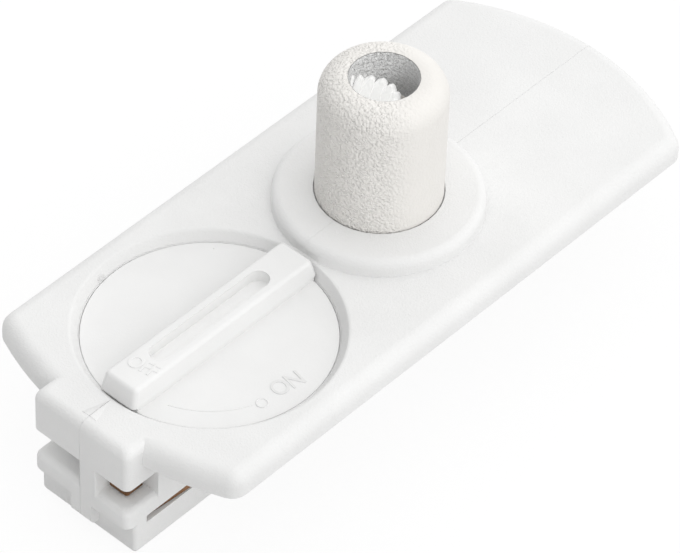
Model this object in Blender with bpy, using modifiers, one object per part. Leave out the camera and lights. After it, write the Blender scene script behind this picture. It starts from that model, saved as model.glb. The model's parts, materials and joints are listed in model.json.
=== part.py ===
"""Track light adapter: clamped housing halves, a turning knob with a locking cam, contacts and a cord grip.

Metres, +Z up. The long axis is X, with the contact tip at -X and the cord grip at +X.
The adapter stands on the underside of its insertion body, with its cover plate and grip upward.
"""
import math

import bmesh
import bpy
from mathutils import Matrix

MM = 0.001

# Cover plate
PLATE_WIDTH = 35.0 * MM
PLATE_THICKNESS = 3.0 * MM
PLATE_NEAR_RADIUS = 42.0 * MM
PLATE_FAR_RADIUS = 30.5 * MM
PLATE_CORNER_RADIUS = 2.0 * MM
PLATE_EDGE_ROUND = 1.8 * MM
PLATE_RIM = 2.4 * MM
PLATE_POCKET_DEPTH = 1.4 * MM
RIB_WIDTH = 1.4 * MM
RIB_SPACING = 13.0 * MM
SEAM_GAP = 0.05 * MM

# Insertion body that drops into the track
TIP_OVERHANG = 1.7 * MM
TAIL_OVERHANG = 10.8 * MM
BODY_DEPTH = 13.0 * MM
BODY_WIDTH = 13.9 * MM
BODY_CORNER_RADIUS = 0.5 * MM
BODY_EDGE_ROUND = 0.5 * MM
WALL = 1.5 * MM
FLOOR = 1.6 * MM

# Keyed tip, heights measured down from the plate's top face
TIP_BLOCK_HEIGHT = 5.6 * MM
TIP_NOTCH_HEIGHT = 3.6 * MM
TIP_FLANGE_HEIGHT = 2.6 * MM
LEFT_NOTCH_DEPTH = 3.4 * MM
RIGHT_NOTCH_DEPTH = 4.7 * MM
NOTCH_WALL = 2.2 * MM
POST_WIDTH = 2.3 * MM
POST_LEFT_WIDTH = 1.4 * MM
POST_FOOT = 1.6 * MM
TOE_SETBACK = 1.2 * MM
BLOCK_CORNER_RADIUS = 0.8 * MM
BLOCK_EDGE_ROUND = 1.2 * MM
FLANGE_CORNER_RADIUS = 0.9 * MM
FLANGE_EDGE_ROUND = 0.85 * MM
FLANGE_FOOT_ROUND = 0.3 * MM
POST_CORNER_RADIUS = 0.35 * MM
TIP_ROOT = 3.6 * MM
FOOT_ROUND = 0.9 * MM
FOOT_BOTTOM_Z = 1.4 * MM

# Knob, its shaft and the cam below it
RECESS_MARGIN = 2.65 * MM
RECESS_EDGE_ROUND = 0.6 * MM
RECESS_SLOPE = 0.8 * MM
DISC_SINK = 1.05 * MM
DISC_THICKNESS = 0.9 * MM
DISC_EDGE_ROUND = 0.2 * MM
BAR_WIDTH = 5.1 * MM
BAR_OVERHANG = 0.25 * MM
BAR_LIFT = 0.5 * MM
BAR_ROOT_SETBACK = 0.55 * MM
BAR_RISE = 2.8 * MM
BAR_EDGE_ROUND = 0.45 * MM
BAR_DRAFT = 0.3 * MM
BAR_END_DRAFT = 0.55 * MM
BAR_CORNER_RADIUS = 0.55 * MM
SLOT_END_WALL = 5.35 * MM
SLOT_WIDTH = 2.5 * MM
SLOT_DEPTH = 1.5 * MM
SHAFT_DIAMETER = 8.0 * MM
DRIVE_SQUARE = 4.6 * MM
DRIVE_DEPTH = 2.2 * MM
RUNNING_CLEARANCE = 0.15 * MM
LUG_REACH = 9.6 * MM
LUG_WIDTH = 6.6 * MM
LUG_THICKNESS = 2.7 * MM
LUG_NOSE = 0.9 * MM
CAM_LONG_RADIUS = 5.0 * MM
CAM_SHORT_RADIUS = 4.2 * MM
CAM_THICKNESS = 1.8 * MM
NECK_DIAMETER = 6.6 * MM
JOURNAL_DIAMETER = 5.0 * MM
JOURNAL_BOTTOM_Z = 0.6 * MM
SCREW_HEAD_DIAMETER = 3.4 * MM
SCREW_SHANK_DIAMETER = 2.0 * MM
SCREW_HEAD_HEIGHT = 0.9 * MM
SCREW_LENGTH = 7.0 * MM
SCREW_SEAT_GAP = 0.1 * MM

# Sliding line and neutral contacts
BLADE_FROM_TIP = 3.1 * MM
BLADE_BACK = 11.4 * MM
BLADE_THICKNESS = 0.7 * MM
BLADE_PROUD = 0.15 * MM
BLADE_BOW = 0.8 * MM
BLADE_CLEARANCE = 0.15 * MM

# Cord grip
BOSS_DIAMETER = 23.6 * MM
BOSS_HEIGHT = 2.1 * MM
BOSS_EDGE_ROUND = 1.1 * MM
COVER_DIAMETER = 14.2 * MM
COVER_HEIGHT = 16.75 * MM
COVER_SINK = 0.35 * MM
COVER_EDGE_ROUND = 2.5 * MM
COVER_BORE = 7.7 * MM
COVER_LIP = 2.9 * MM
COVER_CONE = 2.6 * MM
COVER_WALL = 1.6 * MM
COLLET_DIAMETER = 10.0 * MM
COLLET_BORE = 6.1 * MM
COLLET_TIP_DIAMETER = 7.9 * MM
COLLET_FINGERS = 8
COLLET_SLIT = 0.5 * MM
COLLET_SLIT_DEPTH = 5.0 * MM
COLLET_TIP_DROP = 3.3 * MM
COLLET_SHOULDER_DROP = 7.5 * MM
COLLET_FOOT = 10.4 * MM
COLLET_FOOT_HEIGHT = 1.6 * MM
COLLET_FOOT_SINK = 0.2 * MM
LEDGE_HEIGHT = 1.2 * MM
FIT = 0.25 * MM

# Terminals, earth strip and cord clamp
TERMINAL_WIDTH = 3.8 * MM
TERMINAL_HEIGHT = 5.4 * MM
TERMINAL_WIRE_HOLE = 2.2 * MM
TERMINAL_WIRE_HEIGHT = 2.0 * MM
TERMINAL_EDGE_ROUND = 0.3 * MM
TERMINAL_SCREW_PROUD = 1.2 * MM
TERMINAL_SCREW_DIAMETER = 2.4 * MM
TERMINAL_Y = 3.25 * MM
STRIP_THICKNESS = 0.5 * MM
EARTH_STRIP_WIDTH = 2.0 * MM
EARTH_LEG_WIDTH = 1.3 * MM
EARTH_RING_DIAMETER = 9.6 * MM
EARTH_LEG_FROM_NOTCH = 1.3 * MM
EARTH_SETBACK = 1.9 * MM
EARTH_CORNER_RADIUS = 0.3 * MM
STRIP_REACH = 3.2 * MM
STRIP_WIDTH = 1.0 * MM
STRIP_FROM_WALL = 0.75 * MM
STRIP_LAP = 1.8 * MM
CLAMP_BAR_WIDTH = 4.2 * MM
CLAMP_BAR_HEIGHT = 2.0 * MM
CLAMP_SCREW_DIAMETER = 1.8 * MM
CLAMP_SCREW_HEAD = 2.8 * MM
CLAMP_SCREW_Y = 3.95 * MM
CLAMP_POST_DIAMETER = 3.2 * MM
CLAMP_SCREW_LENGTH = 7.0 * MM
CLAMP_SCREW_HEAD_HEIGHT = 0.9 * MM
CASE_SCREW_DIAMETER = 2.2 * MM
CASE_SCREW_HEAD = 4.0 * MM
CASE_BOSS_DIAMETER = 4.6 * MM
CASE_SCREW_LENGTH = 9.6 * MM
CASE_SCREW_HEAD_HEIGHT = 1.4 * MM
CASE_SCREW_SINK = 1.6 * MM
CASE_SCREW_BLIND_WALL = 1.2 * MM

# Heights inside the body, as shares of its depth
LUG_TOP_SHARE = 0.7615
CAM_TOP_SHARE = 0.3923
CLAMP_SHARE = 0.646
FRONT_SCREW_SHARE = 0.6615
MIDDLE_SCREW_SHARE = 0.4154
END_SCREW_SHARE = 0.8077
MIDDLE_SCREW_OFFSET = 3.6 * MM

# Gaps between neighbours along the body, from the tip to the tail
NOTCH_TO_SCREW = 2.35 * MM
SCREW_TO_LUGS = 2.2 * MM
ROOM_TO_TERMINAL = 1.75 * MM
TERMINAL_TO_FOOT = 0.55 * MM
DISC_TO_BOSS = 0.05 * MM
FOOT_TO_CLAMP = 2.65 * MM
CLAMP_TO_TERMINAL = 1.1 * MM
TERMINAL_TO_END_SCREW = 1.1 * MM
END_SCREW_TO_WALL = 2.6 * MM
EARTH_TERMINAL_LENGTH = 7.0 * MM

# Places worked out from the sizes above, from the tip to the tail
RECESS_DIAMETER = PLATE_WIDTH - 2 * RECESS_MARGIN
DISC_DIAMETER = RECESS_DIAMETER - 2 * (RECESS_SLOPE + RUNNING_CLEARANCE)
BAR_LENGTH = DISC_DIAMETER + 2 * BAR_OVERHANG
SLOT_LENGTH = BAR_LENGTH - 2 * SLOT_END_WALL
LUG_SWEEP = math.hypot(LUG_REACH, LUG_WIDTH / 2) + RUNNING_CLEARANCE * 2
KNOB_FROM_TIP = RIGHT_NOTCH_DEPTH + NOTCH_TO_SCREW + SCREW_TO_LUGS + LUG_SWEEP
GRIP_SPACING = (RECESS_DIAMETER + BOSS_DIAMETER) / 2 + DISC_TO_BOSS
FOOT_ROOM = COLLET_FOOT / 2 + FIT
REAR_LENGTH = (FOOT_ROOM + FOOT_TO_CLAMP + CLAMP_BAR_WIDTH + CLAMP_TO_TERMINAL + EARTH_TERMINAL_LENGTH
               + TERMINAL_TO_END_SCREW + END_SCREW_TO_WALL + WALL)
BODY_LENGTH = KNOB_FROM_TIP + GRIP_SPACING + REAR_LENGTH
LENGTH = BODY_LENGTH + TAIL_OVERHANG
TIP_X = -LENGTH / 2
KNOB_X = TIP_X + KNOB_FROM_TIP
GRIP_X = KNOB_X + GRIP_SPACING
BODY_END_X = TIP_X + BODY_LENGTH
PLATE_NEAR_X = TIP_X + TIP_OVERHANG
PLATE_FAR_X = LENGTH / 2
CHAMBER_FRONT_X = KNOB_X + LUG_SWEEP + WALL
CHAMBER_BACK_X = BODY_END_X - WALL
TERMINAL_LENGTH = GRIP_X - FOOT_ROOM - TERMINAL_TO_FOOT - CHAMBER_FRONT_X - ROOM_TO_TERMINAL
TERMINAL_X = CHAMBER_FRONT_X + ROOM_TO_TERMINAL + TERMINAL_LENGTH / 2
CLAMP_X = GRIP_X + FOOT_ROOM + FOOT_TO_CLAMP + CLAMP_BAR_WIDTH / 2
EARTH_TERMINAL_X = CLAMP_X + CLAMP_BAR_WIDTH / 2 + CLAMP_TO_TERMINAL + EARTH_TERMINAL_LENGTH / 2
BLADE_FRONT = KNOB_FROM_TIP - BLADE_FROM_TIP

# Heights, from the underside of the body to the top of the cover
PLATE_BOTTOM_Z = BODY_DEPTH
PLATE_TOP_Z = BODY_DEPTH + PLATE_THICKNESS
LUG_TOP_Z = BODY_DEPTH * LUG_TOP_SHARE
CAM_TOP_Z = BODY_DEPTH * CAM_TOP_SHARE
BLADE_Z = CAM_TOP_Z - CAM_THICKNESS / 2
BLOCK_BOTTOM_Z = PLATE_TOP_Z - TIP_BLOCK_HEIGHT
FLANGE_TOP_Z = BLOCK_BOTTOM_Z - TIP_NOTCH_HEIGHT
FLANGE_BOTTOM_Z = FLANGE_TOP_Z - TIP_FLANGE_HEIGHT
BOSS_TOP_Z = PLATE_TOP_Z + BOSS_HEIGHT
COVER_BOTTOM_Z = BOSS_TOP_Z - COVER_SINK
COVER_TOP_Z = COVER_BOTTOM_Z + COVER_HEIGHT
COLLET_SHOULDER_Z = COVER_TOP_Z - COLLET_SHOULDER_DROP
COLLET_FOOT_TOP_Z = PLATE_BOTTOM_Z + COLLET_FOOT_SINK
CLAMP_BAR_Z = BODY_DEPTH * CLAMP_SHARE
DISC_TOP_Z = PLATE_TOP_Z - DISC_SINK
DISC_BOTTOM_Z = DISC_TOP_Z - DISC_THICKNESS
RECESS_FLOOR_Z = DISC_BOTTOM_Z - RUNNING_CLEARANCE
SEAT_Z = FLOOR + FIT
STRIP_Z = BLADE_Z + BLADE_THICKNESS / 2 + BLADE_CLEARANCE

HALF_WIDTH = BODY_WIDTH / 2
INNER_HALF = HALF_WIDTH - WALL
STRIP_Y = INNER_HALF - STRIP_FROM_WALL
EARTH_LEG_X = TIP_X + RIGHT_NOTCH_DEPTH - EARTH_LEG_FROM_NOTCH
EARTH_LEG_Y = -POST_WIDTH - FIT - EARTH_LEG_WIDTH / 2
CASE_SCREWS = ((TIP_X + RIGHT_NOTCH_DEPTH + NOTCH_TO_SCREW, BODY_DEPTH * FRONT_SCREW_SHARE),
               (GRIP_X - MIDDLE_SCREW_OFFSET, BODY_DEPTH * MIDDLE_SCREW_SHARE),
               (CHAMBER_BACK_X - END_SCREW_TO_WALL, BODY_DEPTH * END_SCREW_SHARE))
CUT = 1.0 * MM
SMOOTH_ANGLE = math.radians(35)
NUDGE = 0.03 * MM

MATERIALS = {
    "housing": ((0.80, 0.80, 0.78), 0.50, 0.0),
    "knob": ((0.82, 0.82, 0.80), 0.38, 0.0),
    "inner": ((0.60, 0.60, 0.58), 0.50, 0.0),
    "collet": ((0.86, 0.86, 0.84), 0.45, 0.0),
    "cover": ((0.72, 0.69, 0.63), 0.60, 0.2),
    "copper": ((0.80, 0.42, 0.22), 0.35, 1.0),
    "brass": ((0.78, 0.60, 0.28), 0.35, 1.0),
    "steel": ((0.60, 0.60, 0.60), 0.35, 1.0),
}


def clear_scene():
    for obj in list(bpy.data.objects):
        bpy.data.objects.remove(obj, do_unlink=True)


def collection(name):
    made = bpy.data.collections.new(name)
    bpy.context.scene.collection.children.link(made)
    return made


def material(name):
    made = bpy.data.materials.get(name)
    if made is None:
        colour, roughness, metallic = MATERIALS[name]
        made = bpy.data.materials.new(name)
        made.use_nodes = True
        shader = made.node_tree.nodes["Principled BSDF"]
        shader.inputs["Base Color"].default_value = (*colour, 1.0)
        shader.inputs["Roughness"].default_value = roughness
        shader.inputs["Metallic"].default_value = metallic
    return made


def to_object(bm, name, home):
    mesh = bpy.data.meshes.new(name)
    bm.to_mesh(mesh)
    bm.free()
    obj = bpy.data.objects.new(name, mesh)
    home.objects.link(obj)
    if home is CUTTERS:
        obj.hide_render = True
        obj.display_type = "WIRE"
    return obj


def box(name, home, x0, x1, y0, y1, z0, z1):
    bm = bmesh.new()
    bmesh.ops.create_cube(bm, size=1.0)
    scale = Matrix.Diagonal((x1 - x0, y1 - y0, z1 - z0, 1.0))
    place = Matrix.Translation(((x0 + x1) / 2, (y0 + y1) / 2, (z0 + z1) / 2))
    bm.transform(place @ scale)
    return to_object(bm, name, home)


def cylinder(name, home, radius, z0, z1, x=0.0, y=0.0, segments=48, top_radius=None):
    bm = bmesh.new()
    top = radius if top_radius is None else top_radius
    bmesh.ops.create_cone(bm, cap_ends=True, segments=segments, radius1=radius, radius2=top, depth=z1 - z0)
    bm.transform(Matrix.Translation((x, y, (z0 + z1) / 2)))
    return to_object(bm, name, home)


def cross_cylinder(name, home, radius, y0, y1, x, z, segments=24):
    """A cylinder that lies along Y."""
    bm = bmesh.new()
    bmesh.ops.create_cone(bm, cap_ends=True, segments=segments, radius1=radius, radius2=radius, depth=y1 - y0)
    bm.transform(Matrix.Translation((x, (y0 + y1) / 2, z)) @ Matrix.Rotation(math.pi / 2, 4, "X"))
    return to_object(bm, name, home)


def arc(cx, cy, radius, start_deg, end_deg, steps):
    points = []
    for i in range(steps + 1):
        angle = math.radians(start_deg + (end_deg - start_deg) * i / steps)
        points.append((cx + radius * math.cos(angle), cy + radius * math.sin(angle)))
    return points


def prism(name, home, outline, z0, z1):
    """A flat outline, counter-clockwise from above, raised from z0 to z1."""
    bm = bmesh.new()
    face = bm.faces.new([bm.verts.new((x, y, z0)) for x, y in outline])
    raised = bmesh.ops.extrude_face_region(bm, geom=[face])
    lifted = [v for v in raised["geom"] if isinstance(v, bmesh.types.BMVert)]
    bmesh.ops.translate(bm, verts=lifted, vec=(0.0, 0.0, z1 - z0))
    bmesh.ops.recalc_face_normals(bm, faces=bm.faces)
    return to_object(bm, name, home)


def revolve(name, home, profile, x=0.0, y=0.0, segments=64, closed=True):
    """A (radius, z) profile turned about a vertical axis, its outer side listed from top to bottom."""
    count = len(profile)
    edges = [(i, i + 1) for i in range(count - 1)] + ([(count - 1, 0)] if closed else [])
    mesh = bpy.data.meshes.new(name)
    mesh.from_pydata([(r, 0.0, z) for r, z in profile], edges, [])
    obj = bpy.data.objects.new(name, mesh)
    obj.location = (x, y, 0.0)
    home.objects.link(obj)
    if home is CUTTERS:
        obj.hide_render = True
        obj.display_type = "WIRE"
    turn = obj.modifiers.new("turn", "SCREW")
    turn.axis = "Z"
    turn.steps = segments
    turn.render_steps = segments
    turn.use_merge_vertices = True
    turn.merge_threshold = 0.001 * MM
    return obj


def boolean(target, tool, operation):
    step = target.modifiers.new(operation.lower() + "_" + tool.name, "BOOLEAN")
    step.operation = operation
    step.solver = "EXACT"
    step.object = tool
    return target


def cut(target, *tools):
    for tool in tools:
        boolean(target, tool, "DIFFERENCE")
    return target


def join(target, *tools):
    for tool in tools:
        boolean(target, tool, "UNION")
    return target


def keep(target, tool):
    return boolean(target, tool, "INTERSECT")


def round_edges(obj, width, segments, test):
    """Bevels the edges for which test(edge middle, edge direction) is true."""
    bm = bmesh.new()
    bm.from_mesh(obj.data)
    chosen = []
    for edge in bm.edges:
        middle = (edge.verts[0].co + edge.verts[1].co) / 2
        direction = (edge.verts[1].co - edge.verts[0].co).normalized()
        sharp = len(edge.link_faces) == 2 and edge.calc_face_angle() > math.radians(50)
        if sharp and test(middle, direction):
            chosen.append(edge)
    bmesh.ops.bevel(bm, geom=chosen, offset=width, segments=segments, profile=0.5, affect="EDGES",
                    clamp_overlap=True)
    bm.to_mesh(obj.data)
    bm.free()
    return obj


def near(value, target, tolerance=0.01 * MM):
    return abs(value - target) < tolerance


def finish(obj, look, body):
    obj.data.materials.append(material(look))
    obj.data.shade_smooth()
    obj.data.set_sharp_from_angle(angle=SMOOTH_ANGLE)
    if body is not None:
        bpy.context.view_layer.update()
        place = obj.matrix_world.copy()
        obj.parent = body
        obj.matrix_parent_inverse = body.matrix_world.inverted()
        obj.matrix_world = place
    return obj


def axis_empty(name, x, y, z):
    empty = bpy.data.objects.new(name, None)
    empty.empty_display_size = 5.0 * MM
    empty.location = (x, y, z)
    PARTS.objects.link(empty)
    bpy.context.view_layer.update()
    return empty


def plate_end(middle_x, radius, side):
    """One bowed end with rounded corners, counter-clockwise from above; side is 1 far, -1 near."""
    half, corner = PLATE_WIDTH / 2, PLATE_CORNER_RADIUS
    sweep = math.degrees(math.asin((half - corner) / (radius - corner)))
    reach = math.sqrt((radius - corner) ** 2 - (half - corner) ** 2)
    centre = middle_x - side * radius
    turn = 0 if side > 0 else 180
    points = arc(centre + side * reach, side * (corner - half), corner, turn - 90, turn - sweep, 4)
    points += arc(centre, 0.0, radius, turn - sweep, turn + sweep, 16)[1:-1]
    return points + arc(centre + side * reach, side * (half - corner), corner, turn + sweep, turn + 90, 4)


def plate_outline():
    """Straight long sides between the two bowed ends; the near one is the flatter."""
    return plate_end(PLATE_FAR_X, PLATE_FAR_RADIUS, 1) + plate_end(PLATE_NEAR_X, PLATE_NEAR_RADIUS, -1)


def make_plate(name):
    plate = prism(name, PARTS, plate_outline(), PLATE_BOTTOM_Z, PLATE_TOP_Z)
    round_edges(plate, PLATE_EDGE_ROUND, 4, lambda middle, along: near(middle.z, PLATE_TOP_Z))
    return plate


def rounded_box(name, home, x0, x1, y0, y1, z0, z1, corner, edge=0.0):
    """A block with rounded upright edges, and its bottom rim rounded too when edge is given."""
    made = box(name, home, x0, x1, y0, y1, z0, z1)
    if corner > 0.0:
        round_edges(made, corner, 4, lambda middle, along: abs(along.z) > 0.99)
    if edge > 0.0:
        round_edges(made, edge, 2, lambda middle, along: near(middle.z, z0))
    return made


def loft(name, home, layers):
    """Closed skin through flat outlines of equal count, each a (z, points) pair, from the bottom up."""
    bm = bmesh.new()
    rings = [[bm.verts.new((x, y, z)) for x, y in outline] for z, outline in layers]
    count = len(rings[0])
    for low, high in zip(rings, rings[1:]):
        for k in range(count):
            bm.faces.new((low[k], low[(k + 1) % count], high[(k + 1) % count], high[k]))
    bm.faces.new(list(reversed(rings[0])))
    bm.faces.new(rings[-1])
    return to_object(bm, name, home)


def nose_outline(x1, inset, corner):
    """Plan of the tip, pulled in on its front and sides, with two round front corners; x1 is its root."""
    front, side = TIP_X + inset, HALF_WIDTH - inset
    points = [(x1, -side), (x1, side)]
    points += arc(front + corner, side - corner, corner, 90, 180, 4)
    return points + arc(front + corner, corner - side, corner, 180, 270, 4)


def rounded_nose(name, x1, z0, z1, corner, top_round, foot_round=0.0):
    """A tip block whose upper rim, and its lower rim too when asked, is rolled over to the front and sides."""
    layers = []
    if foot_round > 0.0:
        for inset, z in arc(foot_round, foot_round, foot_round, 270, 180, 2)[:-1]:
            layers.append((z0 + z, nose_outline(x1, inset, corner)))
        layers.append((z0 + foot_round, nose_outline(x1, 0.0, corner)))
    else:
        layers.append((z0, nose_outline(x1, 0.0, corner)))
    for inset, z in arc(top_round, -top_round, top_round, 180, 90, 4):
        layers.append((z1 + z, nose_outline(x1, inset, corner)))
    return loft(name, CUTTERS, layers)


def make_tip_blocks():
    """The parts of the keyed tip that stand forward of the toe, from the top block down to the post."""
    root = TIP_X + RIGHT_NOTCH_DEPTH + TIP_ROOT
    block = rounded_nose("tip_block", root, BLOCK_BOTTOM_Z, PLATE_TOP_Z, BLOCK_CORNER_RADIUS, BLOCK_EDGE_ROUND)
    flange = rounded_nose("tip_flange", root, FLANGE_BOTTOM_Z, FLANGE_TOP_Z, FLANGE_CORNER_RADIUS,
                          FLANGE_EDGE_ROUND, FLANGE_FOOT_ROUND)
    post = box("tip_post", CUTTERS, TIP_X, root, -POST_WIDTH, NUDGE, FLANGE_TOP_Z - CUT,
               BLOCK_BOTTOM_Z + CUT)
    round_edges(post, POST_CORNER_RADIUS, 2, lambda middle, along: abs(along.z) > 0.99 and middle.y < 0)
    foot = box("tip_foot", CUTTERS, TIP_X, root, -POST_FOOT, POST_LEFT_WIDTH,
               FOOT_BOTTOM_Z, FLANGE_BOTTOM_Z + CUT)
    round_edges(foot, FOOT_ROUND, 4,
                lambda middle, along: near(middle.z, FOOT_BOTTOM_Z) and abs(along.y) > 0.99)
    return block, flange, post, foot


def make_body(name):
    """The insertion body: toe, side walls and rounded tail, with the two notches left open at its tip."""
    body = rounded_box(name, CUTTERS, TIP_X + TOE_SETBACK, BODY_END_X, -HALF_WIDTH, HALF_WIDTH,
                       0.0, PLATE_BOTTOM_Z + CUT / 2, BODY_CORNER_RADIUS, BODY_EDGE_ROUND)
    left = box("notch_left", CUTTERS, TIP_X - CUT, TIP_X + LEFT_NOTCH_DEPTH, 0.0, HALF_WIDTH + CUT,
               FLANGE_TOP_Z - FLANGE_EDGE_ROUND, BLOCK_BOTTOM_Z + CUT / 2)
    right = box("notch_right", CUTTERS, TIP_X - CUT, TIP_X + RIGHT_NOTCH_DEPTH, -HALF_WIDTH - CUT,
                -POST_WIDTH, FLANGE_TOP_Z - FLANGE_EDGE_ROUND, BLOCK_BOTTOM_Z + CUT / 2)
    return cut(body, left, right)


def make_boss(name, home):
    """Low round boss that carries the cord grip, with a rounded shoulder."""
    radius = BOSS_DIAMETER / 2
    shoulder = arc(radius - BOSS_EDGE_ROUND, BOSS_TOP_Z - BOSS_EDGE_ROUND, BOSS_EDGE_ROUND, 90, 0, 5)
    root_z = PLATE_TOP_Z - PLATE_THICKNESS * 0.8
    profile = [(0.0, BOSS_TOP_Z)] + shoulder + [(radius, root_z), (0.0, root_z)]
    return revolve(name, home, profile, x=GRIP_X, segments=56, closed=False)


def recess_cutter():
    """Round pocket for the knob disc: a rolled rim slopes down to the disc, with the shaft bore below."""
    radius = RECESS_DIAMETER / 2
    seat = DISC_DIAMETER / 2 + RUNNING_CLEARANCE
    tilt = math.atan2(DISC_SINK, RECESS_SLOPE)
    roll = RECESS_EDGE_ROUND
    start = radius + roll * math.tan(tilt / 2)
    rim = arc(start, PLATE_TOP_Z - roll, roll, 90, 90 + math.degrees(tilt), 3)
    profile = [(0.0, PLATE_TOP_Z + CUT), (start, PLATE_TOP_Z + CUT)] + rim + [(seat, DISC_TOP_Z)]
    shaft = SHAFT_DIAMETER / 2 + RUNNING_CLEARANCE
    profile += [(seat, RECESS_FLOOR_Z), (shaft, RECESS_FLOOR_Z)]
    profile += [(shaft, LUG_TOP_Z - CUT / 2), (0.0, LUG_TOP_Z - CUT / 2)]
    return revolve("recess", CUTTERS, profile, x=KNOB_X, segments=64, closed=False)


def underside_pockets():
    """Hollows under the wings of the plate, parted by cross ribs, beside the insertion body."""
    inner = HALF_WIDTH + PLATE_RIM / 2
    outer = PLATE_WIDTH / 2 - PLATE_RIM
    pockets = []
    start = KNOB_X + RECESS_DIAMETER / 2 + RIB_WIDTH
    stop = PLATE_FAR_X - (PLATE_FAR_RADIUS - math.sqrt(PLATE_FAR_RADIUS ** 2 - outer ** 2)) - PLATE_RIM
    count = max(1, int((stop - start) / RIB_SPACING))
    pitch = (stop - start + RIB_WIDTH) / count
    for i in range(count):
        for side in (-1, 1):
            x0 = start + i * pitch
            low, high = sorted((side * inner, side * outer))
            pocket = box(f"pocket_{i}_{side}", CUTTERS, x0, x0 + pitch - RIB_WIDTH, low, high,
                         PLATE_BOTTOM_Z - CUT, PLATE_BOTTOM_Z + PLATE_POCKET_DEPTH)
            pockets.append(pocket)
    return pockets


def cord_chamber():
    """Open room inside the body for the terminals, cord clamp and cord."""
    return box("cord_chamber", CUTTERS, CHAMBER_FRONT_X, CHAMBER_BACK_X, -INNER_HALF, INNER_HALF, FLOOR,
               PLATE_BOTTOM_Z)


def mechanism_cutters():
    """Rooms for the locking lugs, the cam, its journal and the sliding blades."""
    lugs = cylinder("lug_room", CUTTERS, LUG_SWEEP, LUG_TOP_Z - LUG_THICKNESS - RUNNING_CLEARANCE,
                    LUG_TOP_Z + RUNNING_CLEARANCE, x=KNOB_X, segments=44)
    neck = cylinder("neck_bore", CUTTERS, NECK_DIAMETER / 2 + RUNNING_CLEARANCE, CAM_TOP_Z - CUT / 2,
                    LUG_TOP_Z - LUG_THICKNESS + CUT / 2, x=KNOB_X, segments=32)
    cam = cylinder("cam_room", CUTTERS, CAM_LONG_RADIUS + RUNNING_CLEARANCE,
                   CAM_TOP_Z - CAM_THICKNESS - RUNNING_CLEARANCE, CAM_TOP_Z + RUNNING_CLEARANCE, x=KNOB_X,
                   segments=40)
    journal = cylinder("journal_bore", CUTTERS, JOURNAL_DIAMETER / 2 + RUNNING_CLEARANCE, -CUT,
                       CAM_TOP_Z - CAM_THICKNESS + CUT / 2, x=KNOB_X, segments=32)
    slots = []
    for side in (-1, 1):
        low, high = sorted((side * (CAM_SHORT_RADIUS - BLADE_CLEARANCE), side * (HALF_WIDTH + CUT)))
        slots.append(box(f"blade_slot_{side}", CUTTERS, KNOB_X - BLADE_FRONT - BLADE_CLEARANCE,
                         KNOB_X + BLADE_BACK + BLADE_CLEARANCE, low, high,
                         BLADE_Z - BLADE_THICKNESS / 2 - BLADE_CLEARANCE,
                         BLADE_Z + BLADE_THICKNESS / 2 + BLADE_CLEARANCE))
    return lugs, neck, cam, journal, *slots


def earth_channel():
    """Way for the earth strip: up from the notch, along the floor and round the cam's journal."""
    half = EARTH_STRIP_WIDTH / 2 + FIT
    leg_half = EARTH_LEG_WIDTH / 2 + FIT / 2
    run = box("earth_run", CUTTERS, EARTH_LEG_X, CHAMBER_FRONT_X + CUT, -half, half, FLOOR + NUDGE,
              SEAT_Z + STRIP_THICKNESS + FIT)
    ring = cylinder("earth_ring_room", CUTTERS, EARTH_RING_DIAMETER / 2 + FIT, FLOOR - NUDGE,
                    SEAT_Z + STRIP_THICKNESS + FIT + NUDGE, x=KNOB_X, segments=32)
    side = box("earth_side", CUTTERS, EARTH_LEG_X - FIT - NUDGE, EARTH_LEG_X + EARTH_STRIP_WIDTH + FIT,
               EARTH_LEG_Y - leg_half - NUDGE, half + NUDGE, FLOOR - NUDGE,
               SEAT_Z + STRIP_THICKNESS + FIT + NUDGE)
    leg = box("earth_leg_room", CUTTERS, EARTH_LEG_X - FIT, EARTH_LEG_X + STRIP_THICKNESS + FIT,
              EARTH_LEG_Y - leg_half, EARTH_LEG_Y + leg_half, FLOOR + NUDGE, FLANGE_TOP_Z + FIT)
    return run, ring, side, leg


def collet_rooms():
    bore = cylinder("collet_bore", CUTTERS, COLLET_DIAMETER / 2 + RUNNING_CLEARANCE, PLATE_BOTTOM_Z - CUT,
                    BOSS_TOP_Z + CUT, x=GRIP_X, segments=44)
    seat = cylinder("cover_seat", CUTTERS, COVER_DIAMETER / 2 + RUNNING_CLEARANCE,
                    COVER_BOTTOM_Z - RUNNING_CLEARANCE, BOSS_TOP_Z + CUT, x=GRIP_X, segments=36)
    half = COLLET_FOOT / 2 + FIT
    foot = box("collet_foot_room", CUTTERS, GRIP_X - half, GRIP_X + half, -half, half,
               COLLET_FOOT_TOP_Z - COLLET_FOOT_HEIGHT - FIT, COLLET_FOOT_TOP_Z + FIT)
    return bore, seat, foot


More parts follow.
